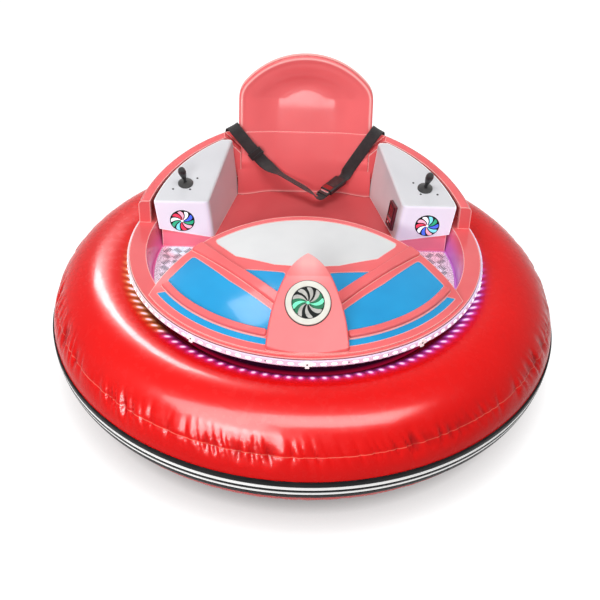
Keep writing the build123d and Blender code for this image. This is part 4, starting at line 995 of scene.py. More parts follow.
strip_profile = []
strip_slots = []
for low, high, sunk, number in STRIP_BANDS:
    cuts = 4 if high - low > 0.3 else 1
    for cut in range(cuts + 1):
        strip_profile.append(strip_place(low + (high - low) * cut / cuts, OUTER_TUBE - sunk))
        strip_slots.append(number if cut < cuts else 0)
for share in (1.0, 0.5, 0.0, -0.5, -1.0):
    strip_profile.append(strip_place(share, INNER_TUBE))
    strip_slots.append(0)
STRIP_STEPS = 480
strip_points = []
for step in range(STRIP_STEPS):
    turn = 2 * math.pi * step / STRIP_STEPS
    strip_points += [(reach * math.cos(turn), reach * math.sin(turn), z) for reach, z in strip_profile]
strip_faces = grid_faces(STRIP_STEPS, len(strip_profile), rows_closed=True, columns_closed=True)
strip = make_piece("rubber_strip", strip_points, strip_faces, [strip_black, strip_white], "strip_rubber",
                   face_slots=strip_slots * STRIP_STEPS)
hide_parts("rub_strip")
print("strip profile points", len(strip_profile))

# %% [markdown]
# **The light strip.** A milky tube runs round the rim with a bead of light every few centimetres. The beads
# change colour round the car: warm on its left, white and pink in front, violet on its right. Both the
# tube and the beads take that colour from one node group that reads the azimuth of the point.

# %% Light colours by azimuth
LIGHT_STOPS = [
    # azimuth as a share of a full turn from -X through the nose, colour
    (0.00, (1.0, 0.55, 0.22)),
    (0.108, (1.0, 0.40, 0.14)),
    (0.118, (0.92, 0.10, 0.62)),
    (0.18, (0.92, 0.08, 0.62)),
    (0.27, (0.90, 0.14, 0.72)),
    (0.38, (0.75, 0.14, 1.0)),
    (0.46, (0.42, 0.16, 1.0)),
    (0.52, (0.75, 0.25, 1.0)),
    (1.00, (1.0, 0.55, 0.22)),
]
run_group, entry, result = new_group("light_run", [], ["Color"])
place = point_place(run_group)
azimuth = math_node(run_group, "ARCTAN2", product(run_group, place["Y"], -1.0), product(run_group, place["X"], -1.0))
stops = run_group.nodes.new("ShaderNodeValToRGB")
ramp = stops.color_ramp
while len(ramp.elements) < len(LIGHT_STOPS):
    ramp.elements.new(0.5)
for element, (position, colour) in zip(ramp.elements, LIGHT_STOPS):
    element.position = position
    element.color = (*colour, 1.0)
turn_share = math_node(run_group, "FRACT", math_node(run_group, "DIVIDE", azimuth, 2 * math.pi))
run_group.links.new(turn_share, stops.inputs[0])
run_group.links.new(stops.outputs[0], result["Color"])


def glow(name, whiten, strength, base):
    """A glowing finish whose colour follows the light run, mixed towards white."""
    material = finish(name, base, tuple(0.9 * value for value in base), (0.2, 0.32), grain=500.0)
    tree = material.node_tree
    tone = place_group(tree, tone_group, Scale=40.0)
    spread = math_node(tree, "ADD", product(tree, tone["Mask"], 0.1), whiten)
    add_glow(material, spread, WHITE, rest=place_group(tree, run_group)["Color"], strength=strength)
    return material


tube_glow = glow("light tube", 0.52, 0.36, (0.66, 0.56, 0.68))
bead_glow = glow("light beads", 0.85, 1.6, (0.95, 0.93, 0.97))
nodes["led_strip"].data.materials.clear()
nodes["led_strip"].data.materials.append(tube_glow)
print("light stops", len(LIGHT_STOPS))

# %% [markdown]
# ** Light on the vinyl.** The small bright pool that each bead throws on the ring just below the rim, with a
# coloured halo, and the faint wash of the same colour that joins them, are painted into the vinyl as a glow.
# The group counts the pools round the ring by azimuth and measures the distance from the nearest one, in
# millimetres, along the ring and round its tube, where a pool is stretched, because the light falls there at a slant.

# %% Light pools on the ring
POOL_COUNT = 104
POOL_ANGLE = 114.5
POOL_REACH = 0.519
POOL_STRETCH = 92.0
CORE_REACH = (7.5, 2.5)
HALO_REACH = (17.0, 3.0)
WASH_REACH = (26.0, 3.0)
pool_group, entry, result = new_group("light_pools", [], ["Core", "Halo", "Wash"])
place = point_place(pool_group)
azimuth = math_node(pool_group, "ARCTAN2", place["Y"], place["X"])
cell = math_node(pool_group, "SUBTRACT", math_node(
    pool_group, "FRACT", product(pool_group, azimuth, POOL_COUNT / (2 * math.pi))), 0.5)
along_mm = product(pool_group, cell, 2 * math.pi * POOL_REACH / MM / POOL_COUNT)
round_mm = product(pool_group, math_node(
    pool_group, "SUBTRACT", round_the_tube(pool_group, place), math.radians(POOL_ANGLE)), POOL_STRETCH)
distance = hypotenuse(pool_group, along_mm, round_mm)
halo = ramp_node(pool_group, distance, *HALO_REACH)
wash = ramp_node(pool_group, math_node(pool_group, "ABSOLUTE", round_mm), *WASH_REACH)
pool_group.links.new(ramp_node(pool_group, distance, *CORE_REACH), result["Core"])
pool_group.links.new(product(pool_group, halo, halo), result["Halo"])
pool_group.links.new(product(pool_group, wash, wash), result["Wash"])

# Painted light: the pools, their halos and the wash glow in the vinyl.
pools = place_group(vinyl_tree, pool_group)
glow_share = math_node(
    vinyl_tree, "ADD", product(vinyl_tree, pools["Halo"], 0.7), product(vinyl_tree, pools["Wash"], 0.12))
halo_colour = mix_colours(vinyl_tree, glow_share, BLACK, place_group(vinyl_tree, run_group)["Color"])
add_glow(vinyl, pools["Core"], (1.0, 0.78, 0.97), rest=halo_colour)
print("pools", POOL_COUNT)

# %% [markdown]
# The beads are one joined mesh: a rounded dash, repeated round the rim. Each stands a fraction of a
# millimetre out of the tube, which is enough for the glossy ring below to mirror a row of dots.

# %% Light beads
light_low, light_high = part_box("led_strip")
STRIP_FACE = light_high.x / MM
STRIP_LEVEL = (light_low.z + light_high.z) / 2 / MM
BEAD_COUNT = 116
BEAD_HALF_LONG = 8.0
BEAD_HALF_TALL = 4.2
BEAD_OUT = 0.7
SUNK = 0.1


def rim_spot(angle, reach):
    """A place on the light strip, with its outward and its onward direction."""
    out = Vector((math.cos(angle), math.sin(angle), 0.0))
    return out * reach + UP * STRIP_LEVEL, out, UP.cross(out)


beads = []
for index in range(BEAD_COUNT):
    centre, out, along = rim_spot(2 * math.pi * (index + 0.5) / BEAD_COUNT, STRIP_FACE - SUNK)
    beads.append(dome_patch(centre, along, UP, out, BEAD_HALF_LONG, BEAD_HALF_TALL, BEAD_OUT))
make_piece("light_beads", *join(beads), [bead_glow], "light_tube")
print("beads", BEAD_COUNT)

# %% [markdown]
# **The hood's inlays.** The white and blue fields are separate glossy sheets laid into shallow pockets of the
# hood. The pockets are in the CAD, so each sheet only has to follow the dome a millimetre down: its outline
# is cut into a fine grid, and every point is dropped onto a ball of the hood's own size. The sheets run a
# little under the pocket's edge, which hides their outline, so corners stay as crisp as the moulding.

# %% Inlay helper
HOOD_TOP = 485.0
HOOD_BALL = 1602.3
INLAY_DEPTH = 1.15
INLAY_GRID = 16.0
INLAY_UNDER = 2.0


def grown(outline, by):
    """An outline with its straight edges moved outwards; corners stay sharp."""
    area = sum(a[0] * b[1] - b[0] * a[1] for a, b in zip(outline, outline[1:] + outline[:1]))
    turn = 1.0 if area > 0 else -1.0
    moved = []
    for before, here, after in zip(outline[-1:] + outline[:-1], outline, outline[1:] + outline[:1]):
        first = (Vector(here) - Vector(before)).normalized()
        second = (Vector(after) - Vector(here)).normalized()
        first_out = Vector((first.y, -first.x)) * turn
        second_out = Vector((second.y, -second.x)) * turn
        middle = (first_out + second_out).normalized()
        reach = by / max(0.4, middle.dot(first_out))
        moved.append((here[0] + middle.x * reach, here[1] + middle.y * reach))
    return moved


def inlay_sheet(outline):
    """Points and faces of a sheet with the given outline, laid on the hood's dome."""
    sheet = bmesh.new()
    sheet.faces.new([sheet.verts.new((x, y, 0.0)) for x, y in outline])
    for axis in (0, 1):
        values = [point[axis] for point in outline]
        cut = INLAY_GRID * math.ceil(min(values) / INLAY_GRID)
        while cut < max(values):
            place = [0.0, 0.0, 0.0]
            way = [0.0, 0.0, 0.0]
            place[axis] = cut
            way[axis] = 1.0
            everything = sheet.verts[:] + sheet.edges[:] + sheet.faces[:]
            bmesh.ops.bisect_plane(sheet, geom=everything, plane_co=place, plane_no=way, dist=0.01)
            cut += INLAY_GRID
    sheet.verts.index_update()
    points = []
    for vertex in sheet.verts:
        x, y = vertex.co.x, vertex.co.y
        depth = math.sqrt((HOOD_BALL - INLAY_DEPTH) ** 2 - x * x - y * y)
        points.append((x, y, HOOD_TOP - HOOD_BALL + depth))
    faces = [tuple(vertex.index for vertex in face.verts) for face in sheet.faces]
    sheet.free()
    return points, faces


def arc(centre_y, radius, first, last, steps):
    """Points on a circle about (0, centre_y), from one angle to another."""
    turns = [math.radians(first + (last - first) * step / steps) for step in range(steps + 1)]
    return [(radius * math.cos(turn), centre_y + radius * math.sin(turn)) for turn in turns]


print("hood ball", HOOD_BALL, "mm")

# %% [markdown]
# The outlines below are the pockets' own corner points, for the car's left side, and a mirrored copy makes
# the right side. Each field is a closed run of points; arcs follow the rim and the hood's back edge.

# %% Inlays
BACK_FIELD = arc(-433.0, 450.0, 90.0, 125.9, 16) + [(-252, -85), (-198, -149), (-90, -193), (0, -205)]
CORNER_FIELD = [(-204, -203), (-148, -255), (-60, -310), (-60, -226)]
SIDE_FIELD = (
    [(-318, -128)] + arc(0.0, 440.0, 209.0, 259.6, 16) + [(-80, -375), (-155, -301), (-212, -247)]
)
STRIPE = arc(0.0, 487.5, 211.4, 262.0, 24) + arc(0.0, 462.5, 262.0, 213.2, 24)
INLAYS = [
    # name, material, outline of the left half, straight edges moved out by
    ("inlay_back_left", panel_white, BACK_FIELD, 0.0),
    ("inlay_corner_left", panel_blue, CORNER_FIELD, INLAY_UNDER),
    ("inlay_side_left", panel_blue, SIDE_FIELD, INLAY_UNDER),
    ("inlay_stripe_left", panel_blue, STRIPE, 0.0),
]
for name, material, outline, under in INLAYS:
    points, faces = inlay_sheet(grown(outline, under) if under else outline)
    for word, side in (("left", 1), ("right", -1)):
        mirrored = [(side * x, y, z) for x, y, z in points]
        sheet = make_piece(name.replace("left", word), mirrored, faces, [material], "console_white")
        GLOSS_SETS["body"].objects.link(sheet)
print("inlays", 2 * len(INLAYS))

# %% [markdown]
# **Pinwheel lamps.** Behind each clear cover a printed foil shows curved blades that light up in turn. The
# blades are modelled as narrow pleated strips, because pleats catch the light the way the foil does. One
# builder makes all three lamps: it sweeps each blade outwards while it turns, and widens it towards the rim.

# %% Pinwheel builder
BLADE_ROWS = 14
BLADE_COLUMNS = 6
BLADE_START = 0.05
BLADE_REACH = 0.93
BLADE_ROUND = 0.88
HUB_SHARE = 0.11


def lamp_finish(name, colour, level):
    material = finish(name, colour, tuple(0.75 * value for value in colour), (0.1, 0.22), drift=60.0,
                      grain=900.0, bump=0.00001, Coat_Weight=0.4, Coat_Roughness=0.03)
    shader = material.node_tree.nodes["Principled BSDF"]
    shader.inputs["Emission Color"].default_value = (*colour, 1.0)
    shader.inputs["Emission Strength"].default_value = level
    return material


LAMP_COLOURS = {
    "silver": lamp_finish("lamp silver", (0.50, 0.49, 0.46), 0.10),
    "mint": lamp_finish("lamp mint", (0.16, 0.82, 0.48), 0.45),
    "green": lamp_finish("lamp green", (0.02, 0.42, 0.22), 0.5),
    "deep": lamp_finish("lamp deep green", (0.005, 0.15, 0.065), 0.3),
    "white": lamp_finish("lamp white", (0.92, 0.94, 1.0), 0.7),
    "red": lamp_finish("lamp red", (0.85, 0.04, 0.10), 0.5),
    "pink": lamp_finish("lamp pink", (1.0, 0.45, 0.60), 0.6),
    "blue": lamp_finish("lamp blue", (0.06, 0.14, 0.85), 0.6),
    "aqua": lamp_finish("lamp aqua", (0.20, 0.75, 0.85), 0.6),
}


def pinwheel(name, centre, out, radius, blades, twist, fill, hub):
    """Curved blades on a round lens; blades is a list of (angle, colour name). Deep blades fill the gaps."""
    up = out.cross(RIGHTWARD)
    names = sorted({colour for angle, colour in blades} | {hub})
    steps = sum(1 for angle, colour in blades if colour != "deep")
    shapes = []
    face_slots = []
    for angle, colour in blades:
        points = []
        for row in range(BLADE_ROWS + 1):
            share = BLADE_START + BLADE_REACH * row / BLADE_ROWS
            middle = math.radians(angle + twist * share**1.3)
            wide = math.radians(fill * 180.0 / steps) * (0.35 + 0.65 * min(1.0, share / 0.55))
            wide *= 1.0 - 0.45 * max(0.0, share - BLADE_ROUND) / (1.0 - BLADE_ROUND)
            for column in range(BLADE_COLUMNS + 1):
                turn = middle + wide * (2 * column / BLADE_COLUMNS - 1)
                lift = 0.8 if column % 2 else 0.5
                if column in (0, BLADE_COLUMNS) or row in (0, BLADE_ROWS):
                    lift = 0.1
                reach = radius * share
                radial = RIGHTWARD * math.cos(turn) + up * math.sin(turn)
                points.append(centre + radial * reach + out * lift)
        shapes.append((points, grid_faces(BLADE_ROWS + 1, BLADE_COLUMNS + 1)))
        face_slots += [names.index(colour)] * len(shapes[-1][1])
    shapes.append(dome_patch(centre, RIGHTWARD, up, out, radius * HUB_SHARE, radius * HUB_SHARE, 0.9))
    face_slots += [names.index(hub)] * len(shapes[-1][1])
    return make_piece(
        name, *join(shapes), [LAMP_COLOURS[colour] for colour in names], "lamp_lens", face_slots=face_slots,
    )


print("lamp colours", len(LAMP_COLOURS))

# %% [markdown]
# The nose lamp is silver on black with a mint blade on each side, between deep green ones. The two console
# lamps are lit in many colours, and each has its own order. The lenses face along the normals that the CAD
# gives them.

# %% Three pinwheels
NOSE_OUT = Vector((0.0, -0.64279, 0.76604))
NOSE_CENTRE = Vector((0.0, -400.764, 496.365))
NOSE_BLADES = [
    (-24, "mint"), (16, "silver"), (52, "silver"), (90, "silver"), (126, "silver"), (163, "mint"),
    (204, "silver"), (246, "silver"), (292, "silver"), (-3, "deep"), (184, "deep"), (-45, "deep"), (144, "deep"),
]
LEFT_BLADES = [
    (0, "blue"), (36, "white"), (72, "pink"), (108, "red"), (144, "white"), (180, "green"), (216, "aqua"),
    (252, "red"), (288, "pink"), (324, "green"),
]
RIGHT_BLADES = [
    (8, "green"), (44, "aqua"), (80, "white"), (116, "pink"), (152, "red"), (188, "white"), (224, "blue"),
    (260, "pink"), (296, "aqua"), (332, "blue"),
]
FORWARD = -BACKWARD
CONSOLE_LAMP_X = 370.0
CONSOLE_LAMP_Z = 408.0
pinwheel("nose_pinwheel", NOSE_CENTRE, NOSE_OUT, 42.0, NOSE_BLADES, 36.0, 0.56, "mint")
for word, side, blades in (("left", -1, LEFT_BLADES), ("right", 1, RIGHT_BLADES)):
    face_centre = Vector((side * CONSOLE_LAMP_X, 115.7, CONSOLE_LAMP_Z))
    pinwheel(f"console_pinwheel_{word}", face_centre, FORWARD, 34.6, blades, 34.0, 0.72, "white")
print("blades", len(NOSE_BLADES) + len(LEFT_BLADES) + len(RIGHT_BLADES))

# %% [markdown]
# Black half-round beads draw dark outlines as painted shade: one round the white bezel, where a groove lies in shade,
# and a thinner one in the shaded gap between the bezel and the lens. The console lamps have a fine dark rim too. Each
# is a half-round bead turned about the lamp's own axis.

# %% Dark lamp outlines
DARK_OUTLINE_BEADS = [
    # name, centre, out, bead's middle radius, half width, height
    ("bezel_gasket", Vector((0.0, -398.193, 493.301)), NOSE_OUT, 60.2, 1.3, 1.4),
    ("lens_gasket", NOSE_CENTRE, NOSE_OUT, 43.6, 1.1, 1.3),
    ("console_gasket_left", Vector((-CONSOLE_LAMP_X, 118.0, CONSOLE_LAMP_Z)), FORWARD, 36.6, 0.8, 1.0),
    ("console_gasket_right", Vector((CONSOLE_LAMP_X, 118.0, CONSOLE_LAMP_Z)), FORWARD, 36.6, 0.8, 1.0),
]


def bead_ring(centre, out, middle, half_wide, height, steps=96, curve=6):
    """Points and faces of a half-round bead that runs in a circle."""
    up = out.cross(RIGHTWARD)
    points = []
    for step in range(steps):
        turn = 2 * math.pi * step / steps
        radial = RIGHTWARD * math.cos(turn) + up * math.sin(turn)
        for index in range(curve + 1):
            bend = math.pi * index / curve
            points.append(centre + radial * (middle + half_wide * math.cos(bend)) + out * (height * math.sin(bend)))
    return points, grid_faces(steps, curve + 1, rows_closed=True)


for name, *shape in DARK_OUTLINE_BEADS:
    make_piece(name, *bead_ring(*shape), [grip_black], "black_plastic")
print("gaskets", len(DARK_OUTLINE_BEADS))

# %% [markdown]
# ** The belt.** Webbing is flat and limp: it bends easily across its face and hardly at all in its plane, so
# it twists instead. A strap is given as a short list of stations, each a point and the direction of its
# width, and a smooth curve through them carries a thin ribbon whose edges are thinner than its
# middle. The first column of each row lies at one edge, so the ribbon's own
# coordinates run in metres across and along, and the weave can follow them.

# %% Ribbon helper
BELT_WIDE = 38.0
BELT_THICK = 2.0
BELT_STEP = 4.0
BELT_COLUMNS = 8


def smooth_run(stations, step):
    """Points and width directions along a centripetal curve through the stations."""
    places = [Vector(place) for place, way in stations]
    ways = [Vector(way).normalized() for place, way in stations]
    places = [places[0] * 2 - places[1]] + places + [places[-1] * 2 - places[-2]]
    ways = [ways[0]] + ways + [ways[-1]]
    run = []
    for index in range(1, len(places) - 2):
        p0, p1, p2, p3 = places[index - 1:index + 3]
        t1 = (p1 - p0).length ** 0.5
        t2 = t1 + (p2 - p1).length ** 0.5
        t3 = t2 + (p3 - p2).length ** 0.5
        cuts = max(2, round((p2 - p1).length / step))
        for cut in range(cuts):
            t = t1 + (t2 - t1) * cut / cuts
            a1 = p0 * ((t1 - t) / t1) + p1 * (t / t1)
            a2 = p1 * ((t2 - t) / (t2 - t1)) + p2 * ((t - t1) / (t2 - t1))
            a3 = p2 * ((t3 - t) / (t3 - t2)) + p3 * ((t - t2) / (t3 - t2))
            b1 = a1 * ((t2 - t) / t2) + a2 * (t / t2)
            b2 = a2 * ((t3 - t) / (t3 - t1)) + a3 * ((t - t1) / (t3 - t1))
            place = b1 * ((t2 - t) / (t2 - t1)) + b2 * ((t - t1) / (t2 - t1))
            share = smooth_share(cut / cuts, 0.0, 1.0)
            run.append((place, ways[index].lerp(ways[index + 1], share).normalized()))
    run.append((places[-2], ways[-2]))
    return run


def ribbon(run, wide, thick):
    """A flat closed ribbon along a run; also the (across, along) metres of every point."""
    points = []
    spots = []
    along = 0.0
    last = len(run) - 1
    for index, (place, way) in enumerate(run):
        ahead = run[min(index + 1, last)][0] - run[max(index - 1, 0)][0]
        ahead.normalize()
        side = (way - ahead * way.dot(ahead)).normalized()
        face = side.cross(ahead)
        if index:
            along += (place - run[index - 1][0]).length
        for sign in (1, -1):
            for column in range(BELT_COLUMNS + 1):
                share = sign * (2 * column / BELT_COLUMNS - 1)
                lift = sign * thick / 2 * (0.25 if abs(share) > 0.99 else 0.82)
                points.append(place + side * (share * wide / 2) + face * lift)
                spots.append(((share + 1) * wide / 2 * MM, along * MM))
    row = 2 * (BELT_COLUMNS + 1)
    faces = grid_faces(last + 1, row, columns_closed=True)
    faces.append(tuple(range(row)))
    faces.append(tuple(last * row + column for column in range(row)))
    return points, faces, spots


def strap_piece(name, stations):
    run = smooth_run(stations, BELT_STEP)
    points, faces, spots = ribbon(run, BELT_WIDE, BELT_THICK)
    piece = make_piece(name, points, faces, [webbing], "webbing")
    layer = piece.data.uv_layers.new(name="strap")
    for loop in piece.data.loops:
        layer.data[loop.index].uv = spots[loop.vertex_index]
    length = sum((b[0] - a[0]).length for a, b in zip(run, run[1:]))
    print(name, "length", round(length), "mm")
    return piece


# %% [markdown]
# The stations repeat the CAD's route: up from the anchor plate behind the surround, over its rounded edge,
# down the seat's back and across to the tongue on the left and the buckle on the right. The left strap
# turns on its edge below the slider, which is why it looks narrower there.

# %% Belt straps
TONGUE_POINT = Vector((56.0, 320.0, 388.0))
BUCKLE_POINT = Vector((118.0, 387.0, 404.0))
LAP_WAY = (BUCKLE_POINT - TONGUE_POINT).normalized()
LAP_SIDE = LAP_WAY.cross(Vector((0, 0, 1))).normalized()
LAP_FACE = LAP_SIDE.cross(LAP_WAY)
LAP_RUN = 16.0
SHOULDER = [
    # place and width direction on the right side
    ((238.2, 459.5, 488.0), (-0.888, 0.460, 0.0)),
    ((238.2, 459.5, 528.0), (-0.888, 0.460, 0.0)),
    ((235.0, 451.0, 554.0), (-0.86, 0.36, 0.34)),
    ((230.0, 438.0, 561.0), (-0.84, 0.163, 0.518)),
    ((221.0, 424.0, 556.0), (-0.84, 0.163, 0.518)),
]
MIRRORED_SHOULDER = [((-x, y, z), (-a, b, c)) for (x, y, z), (a, b, c) in SHOULDER]
LEFT_RUN = [
    ((-143.0, 408.0, 464.0), (0.84, 0.163, 0.518)),
    ((-124.0, 402.0, 447.0), (0.70, 0.50, 0.35)),
    ((-68.0, 378.0, 421.0), (0.285, 0.926, -0.245)),
    ((-2.0, 343.0, 399.0), (0.05, 0.98, -0.15)),
    (TONGUE_POINT - LAP_WAY * LAP_RUN, -LAP_SIDE),
    (TONGUE_POINT - LAP_WAY * 0.3, -LAP_SIDE),
]
RIGHT_RUN = [
    ((144.0, 402.0, 436.0), (-0.84, 0.163, 0.518)),
    (BUCKLE_POINT + LAP_WAY * LAP_RUN, -LAP_SIDE),
    (BUCKLE_POINT + LAP_WAY * 0.3, -LAP_SIDE),
]
left_strap = strap_piece("webbing_left", MIRRORED_SHOULDER + LEFT_RUN)
right_strap = strap_piece("webbing_right", SHOULDER + RIGHT_RUN)
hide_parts("belt_straps")
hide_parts("belt_straps")

# %% [markdown]
# The belt's hardware gets its small forms: two bars across the slider, a plated end on the tongue, and the
# buckle's raised rim with a dark red button at the end that the tongue goes into. Each is a rounded block
# placed on the face of its CAD piece.

# %% Rounded blocks


def rounded_block(centre, across, along, out, size, corner, edge=0.6, steps=5):
    """Points and faces of a low block with round corners and a chamfered top; size is across, along, out."""
    outline = []
    half_across, half_along = size[0] / 2, size[1] / 2
    for sign_x, sign_y, start in ((1, 1, 0), (-1, 1, 90), (-1, -1, 180), (1, -1, 270)):
        for step in range(steps + 1):
            turn = math.radians(start + 90 * step / steps)
            outline.append((
                sign_x * (half_across - corner) + corner * math.cos(turn),
                sign_y * (half_along - corner) + corner * math.sin(turn),
            ))
    points = []
    count = len(outline)
    for inset, height in ((0.0, 0.0), (0.0, size[2] - edge), (edge, size[2])):
        for x, y in outline:
            x -= math.copysign(min(inset, abs(x)), x)
            y -= math.copysign(min(inset, abs(y)), y)
            points.append(centre + across * x + along * y + out * height)
    faces = [tuple(range(count - 1, -1, -1)), tuple(2 * count + index for index in range(count))]
    return points, faces + grid_faces(3, count, columns_closed=True)


BUCKLE_START = Vector((92.86, 359.83, 406.14)) - LAP_WAY * 36.1
TONGUE_FACE = TONGUE_POINT + LAP_WAY * 15.0 + LAP_FACE * 4.45
BUCKLE_PARTS = [
    # name, centre, size, corner, edge, material, slot
    ("buckle_button", BUCKLE_START + LAP_WAY * 11.0, (32.0, 17.0, 1.6), 4.0, 0.6, button_red, "black_plastic"),
    ("buckle_cover", BUCKLE_START + LAP_WAY * 45.0, (36.0, 46.0, 1.2), 8.0, 0.6, grip_black, "black_plastic"),
    ("tongue_plate", TONGUE_FACE, (30.0, 8.0, 0.9), 2.0, 0.3, chrome, "zinc_steel"),
]
for name, centre, size, corner, edge, material, slot in BUCKLE_PARTS:
    block = rounded_block(centre, LAP_SIDE, LAP_WAY, LAP_FACE, size, corner, edge)
    make_piece(name, *block, [material], slot, smooth=False)
SLIDER_FACE = Vector((-155.9306, 406.7993, 480.38))
SLIDER_OUT = Vector((0.0556, -0.9747, 0.2166))
SLIDER_WAY = (Vector(LEFT_RUN[0][0]) - Vector(MIRRORED_SHOULDER[-1][0])).normalized()
SLIDER_SIDE = SLIDER_WAY.cross(SLIDER_OUT).normalized()
bars = [
    rounded_block(SLIDER_FACE + SLIDER_WAY * shift, SLIDER_SIDE, SLIDER_WAY, SLIDER_OUT, (44.0, 6.0, 1.8), 2.5)
    for shift in (-8.0, 8.0)
]
make_piece("slider_bars", *join(bars), [grip_black], "black_plastic", smooth=False)
print("belt hardware", len(BUCKLE_PARTS) + 1)

# %% [markdown]
# **Screws.** Three small black screws hold each joystick from above, and more of them hold the light strip
# and its clips. A screw head is a low dome, and a ring of sunk points in it draws the cross, which is enough
# at two or three millimetres.

# %% Screws
DECK_OUT = Vector((0.0, -0.2079, 0.9781))
DECK_ALONG = Vector((0.0, 0.9781, 0.2079))
JOYSTICK_FOOT = Vector((363.0, 195.0, 492.4))
JOYSTICK_SCREWS = [(34.0, 24.0), (15.0, -26.0), (-36.0, -26.0)]
STRIP_SCREWS = 30
CLIP_REACH = 522.1
HEAD_SIDES = 16


def screw_head(centre, across, along, out, radius):
    """A low dome with a sunk cross: its middle and four places on each of two rings go down."""
    points, faces = dome_patch(centre, across, along, out, radius, radius, radius * 0.42, rings=4, sides=HEAD_SIDES)
    for index in (0, *range(1, 1 + 2 * HEAD_SIDES, 4)):
        points[index] = points[index] - out * radius * 0.3
    return points, faces


heads = []
for side in (-1, 1):
    foot = Vector((side * JOYSTICK_FOOT.x, JOYSTICK_FOOT.y, JOYSTICK_FOOT.z))
    for x, y in JOYSTICK_SCREWS:
        heads.append(screw_head(foot + RIGHTWARD * (-side * x) + DECK_ALONG * y, RIGHTWARD, DECK_ALONG, DECK_OUT, 3.4))
for index in range(STRIP_SCREWS):
    on_clip = index % 3 == 0
    centre, out, along = rim_spot(
        math.radians(270.0 + index * 360.0 / STRIP_SCREWS), (CLIP_REACH if on_clip else STRIP_FACE) - SUNK)
    heads.append(screw_head(centre, along, UP, out, 2.9 if on_clip else 2.2))
make_piece("small_screws", *join(heads), [grip_black], "black_plastic")
print("screws", len(heads))

# %% [markdown]
# **Control panel.** A slim box with a plain dark red face. It gets a raised black frame, a lower field with
# a row of chrome rockers and two round keys, and no marks of any kind.

# %% Control panel details
PANEL_FACE = Vector((261.0389, 169.8195, 409.1037))
PANEL_OUT = Vector((-0.9649, -0.2345, 0.1187))
PANEL_ALONG = Vector((-0.2361, 0.9717, 0.0))
PANEL_UP = PANEL_ALONG.cross(PANEL_OUT)
PANEL_PARTS = [
    # across, up, width, height, thickness, corner, material, name
    (0.0, 37.0, 42.0, 4.0, 1.2, 1.5, grip_black, "panel_frame_top"),
    (0.0, -37.0, 42.0, 4.0, 1.2, 1.5, grip_black, "panel_frame_foot"),
    (-19.5, 0.0, 3.0, 74.0, 1.2, 1.4, grip_black, "panel_frame_front"),
    (19.5, 0.0, 3.0, 74.0, 1.2, 1.4, grip_black, "panel_frame_back"),
    (0.0, -3.0, 34.0, 3.0, 0.9, 1.2, grip_black, "panel_divider"),
    (-11.0, -12.0, 8.0, 11.0, 1.8, 1.5, chrome, "panel_rocker_front"),
    (0.0, -12.0, 8.0, 11.0, 1.8, 1.5, chrome, "panel_rocker_middle"),
    (11.0, -12.0, 8.0, 11.0, 1.8, 1.5, chrome, "panel_rocker_back"),
    (-8.0, -27.0, 10.0, 10.0, 2.0, 4.6, grip_black, "panel_key_front"),
    (8.0, -27.0, 10.0, 10.0, 2.0, 4.6, chrome, "panel_key_back"),
]
for across, up, wide, tall, thick, corner, material, name in PANEL_PARTS:
    centre = PANEL_FACE + PANEL_ALONG * across + PANEL_UP * up
    block = rounded_block(centre, PANEL_ALONG, PANEL_UP, PANEL_OUT, (wide, tall, thick), corner, edge=0.4)
    make_piece(name, *block, [material], "panel_dark", smooth=False)
print("panel parts", len(PANEL_PARTS))

# %% [markdown]
# **Tread plates.** Rolled tread plate has groups of five short bars, and each group stands square to its
# neighbours. A bar is a long low dome. Only bars that lie wholly on the plate are kept.

# %% Tread bars
PLATE_START = Vector((277.0, -205.0, 317.8))
PLATE_PITCH = 31.0
PLATE_EDGE = 441.0
PLATE_SIDE = 280.0
PLATE_ENDS = (-202.0, 109.0)
BAR_HALF_LONG = 10.5
BAR_HALF_WIDE = 1.6
BAR_RISE = 1.1
BAR_PITCH = 5.4
BARS_IN_GROUP = 5


def on_plate(spot):
    return PLATE_SIDE < spot.x and spot.xy.length < PLATE_EDGE and PLATE_ENDS[0] < spot.y < PLATE_ENDS[1]


plate_bars = []
for side in (-1, 1):
    for column in range(6):
        for row in range(11):
            middle = PLATE_START + Vector((PLATE_PITCH * (column + 0.45), PLATE_PITCH * (row + 0.5), 0.0))
            turn = math.radians(45.0 if (column + row) % 2 else -45.0)
            along = Vector((math.cos(turn), math.sin(turn), 0.0))
            for bar in range(BARS_IN_GROUP):
                centre = middle + UP.cross(along) * ((bar - (BARS_IN_GROUP - 1) / 2) * BAR_PITCH)
                if all(on_plate(centre + along * (sign * (BAR_HALF_LONG + 1.5))) for sign in (-1, 1)):
                    here = Vector((side * centre.x, centre.y, centre.z))
                    way = Vector((side * along.x, along.y, 0.0))
                    plate_bars.append(dome_patch(
                        here, way, UP.cross(way), UP, BAR_HALF_LONG, BAR_HALF_WIDE, BAR_RISE, rings=2, sides=10))
make_piece("tread_bars", *join(plate_bars), [bar_metal], "tread_metal")
print("tread bars", len(plate_bars))

# %% [markdown]
# **Under the car.** What carries the car is plain steel, but it is seen when the car is lifted or turned
# over, so it gets its fasteners: bolts through the casters' plates, screws on the gearboxes, nuts on the
# wheel hubs, and drive tyres with three grooves round them. A bolt is a washer and a six-sided head.

# %% Bolts
WASHER_RINGS = ((1.45, 0.0), (1.45, 0.22), (1.0, 0.22))
HEAD_RINGS = ((1.0, 0.2), (1.0, 0.88), (0.86, 1.0))
CASTER_X = 205.0
CASTER_YS = (-235.0, 262.0)
CASTER_PLATE_Z = 109.0
POST_PLACES = [(150.0, -255.0), (150.0, 310.0), (215.0, -90.0), (215.0, 310.0)]
POST_FOOT_Z = 305.0
GEARBOX_FACE = 107.7
HUB_FACE = 235.0
AXLE_Y, AXLE_Z = 60.0, 100.0


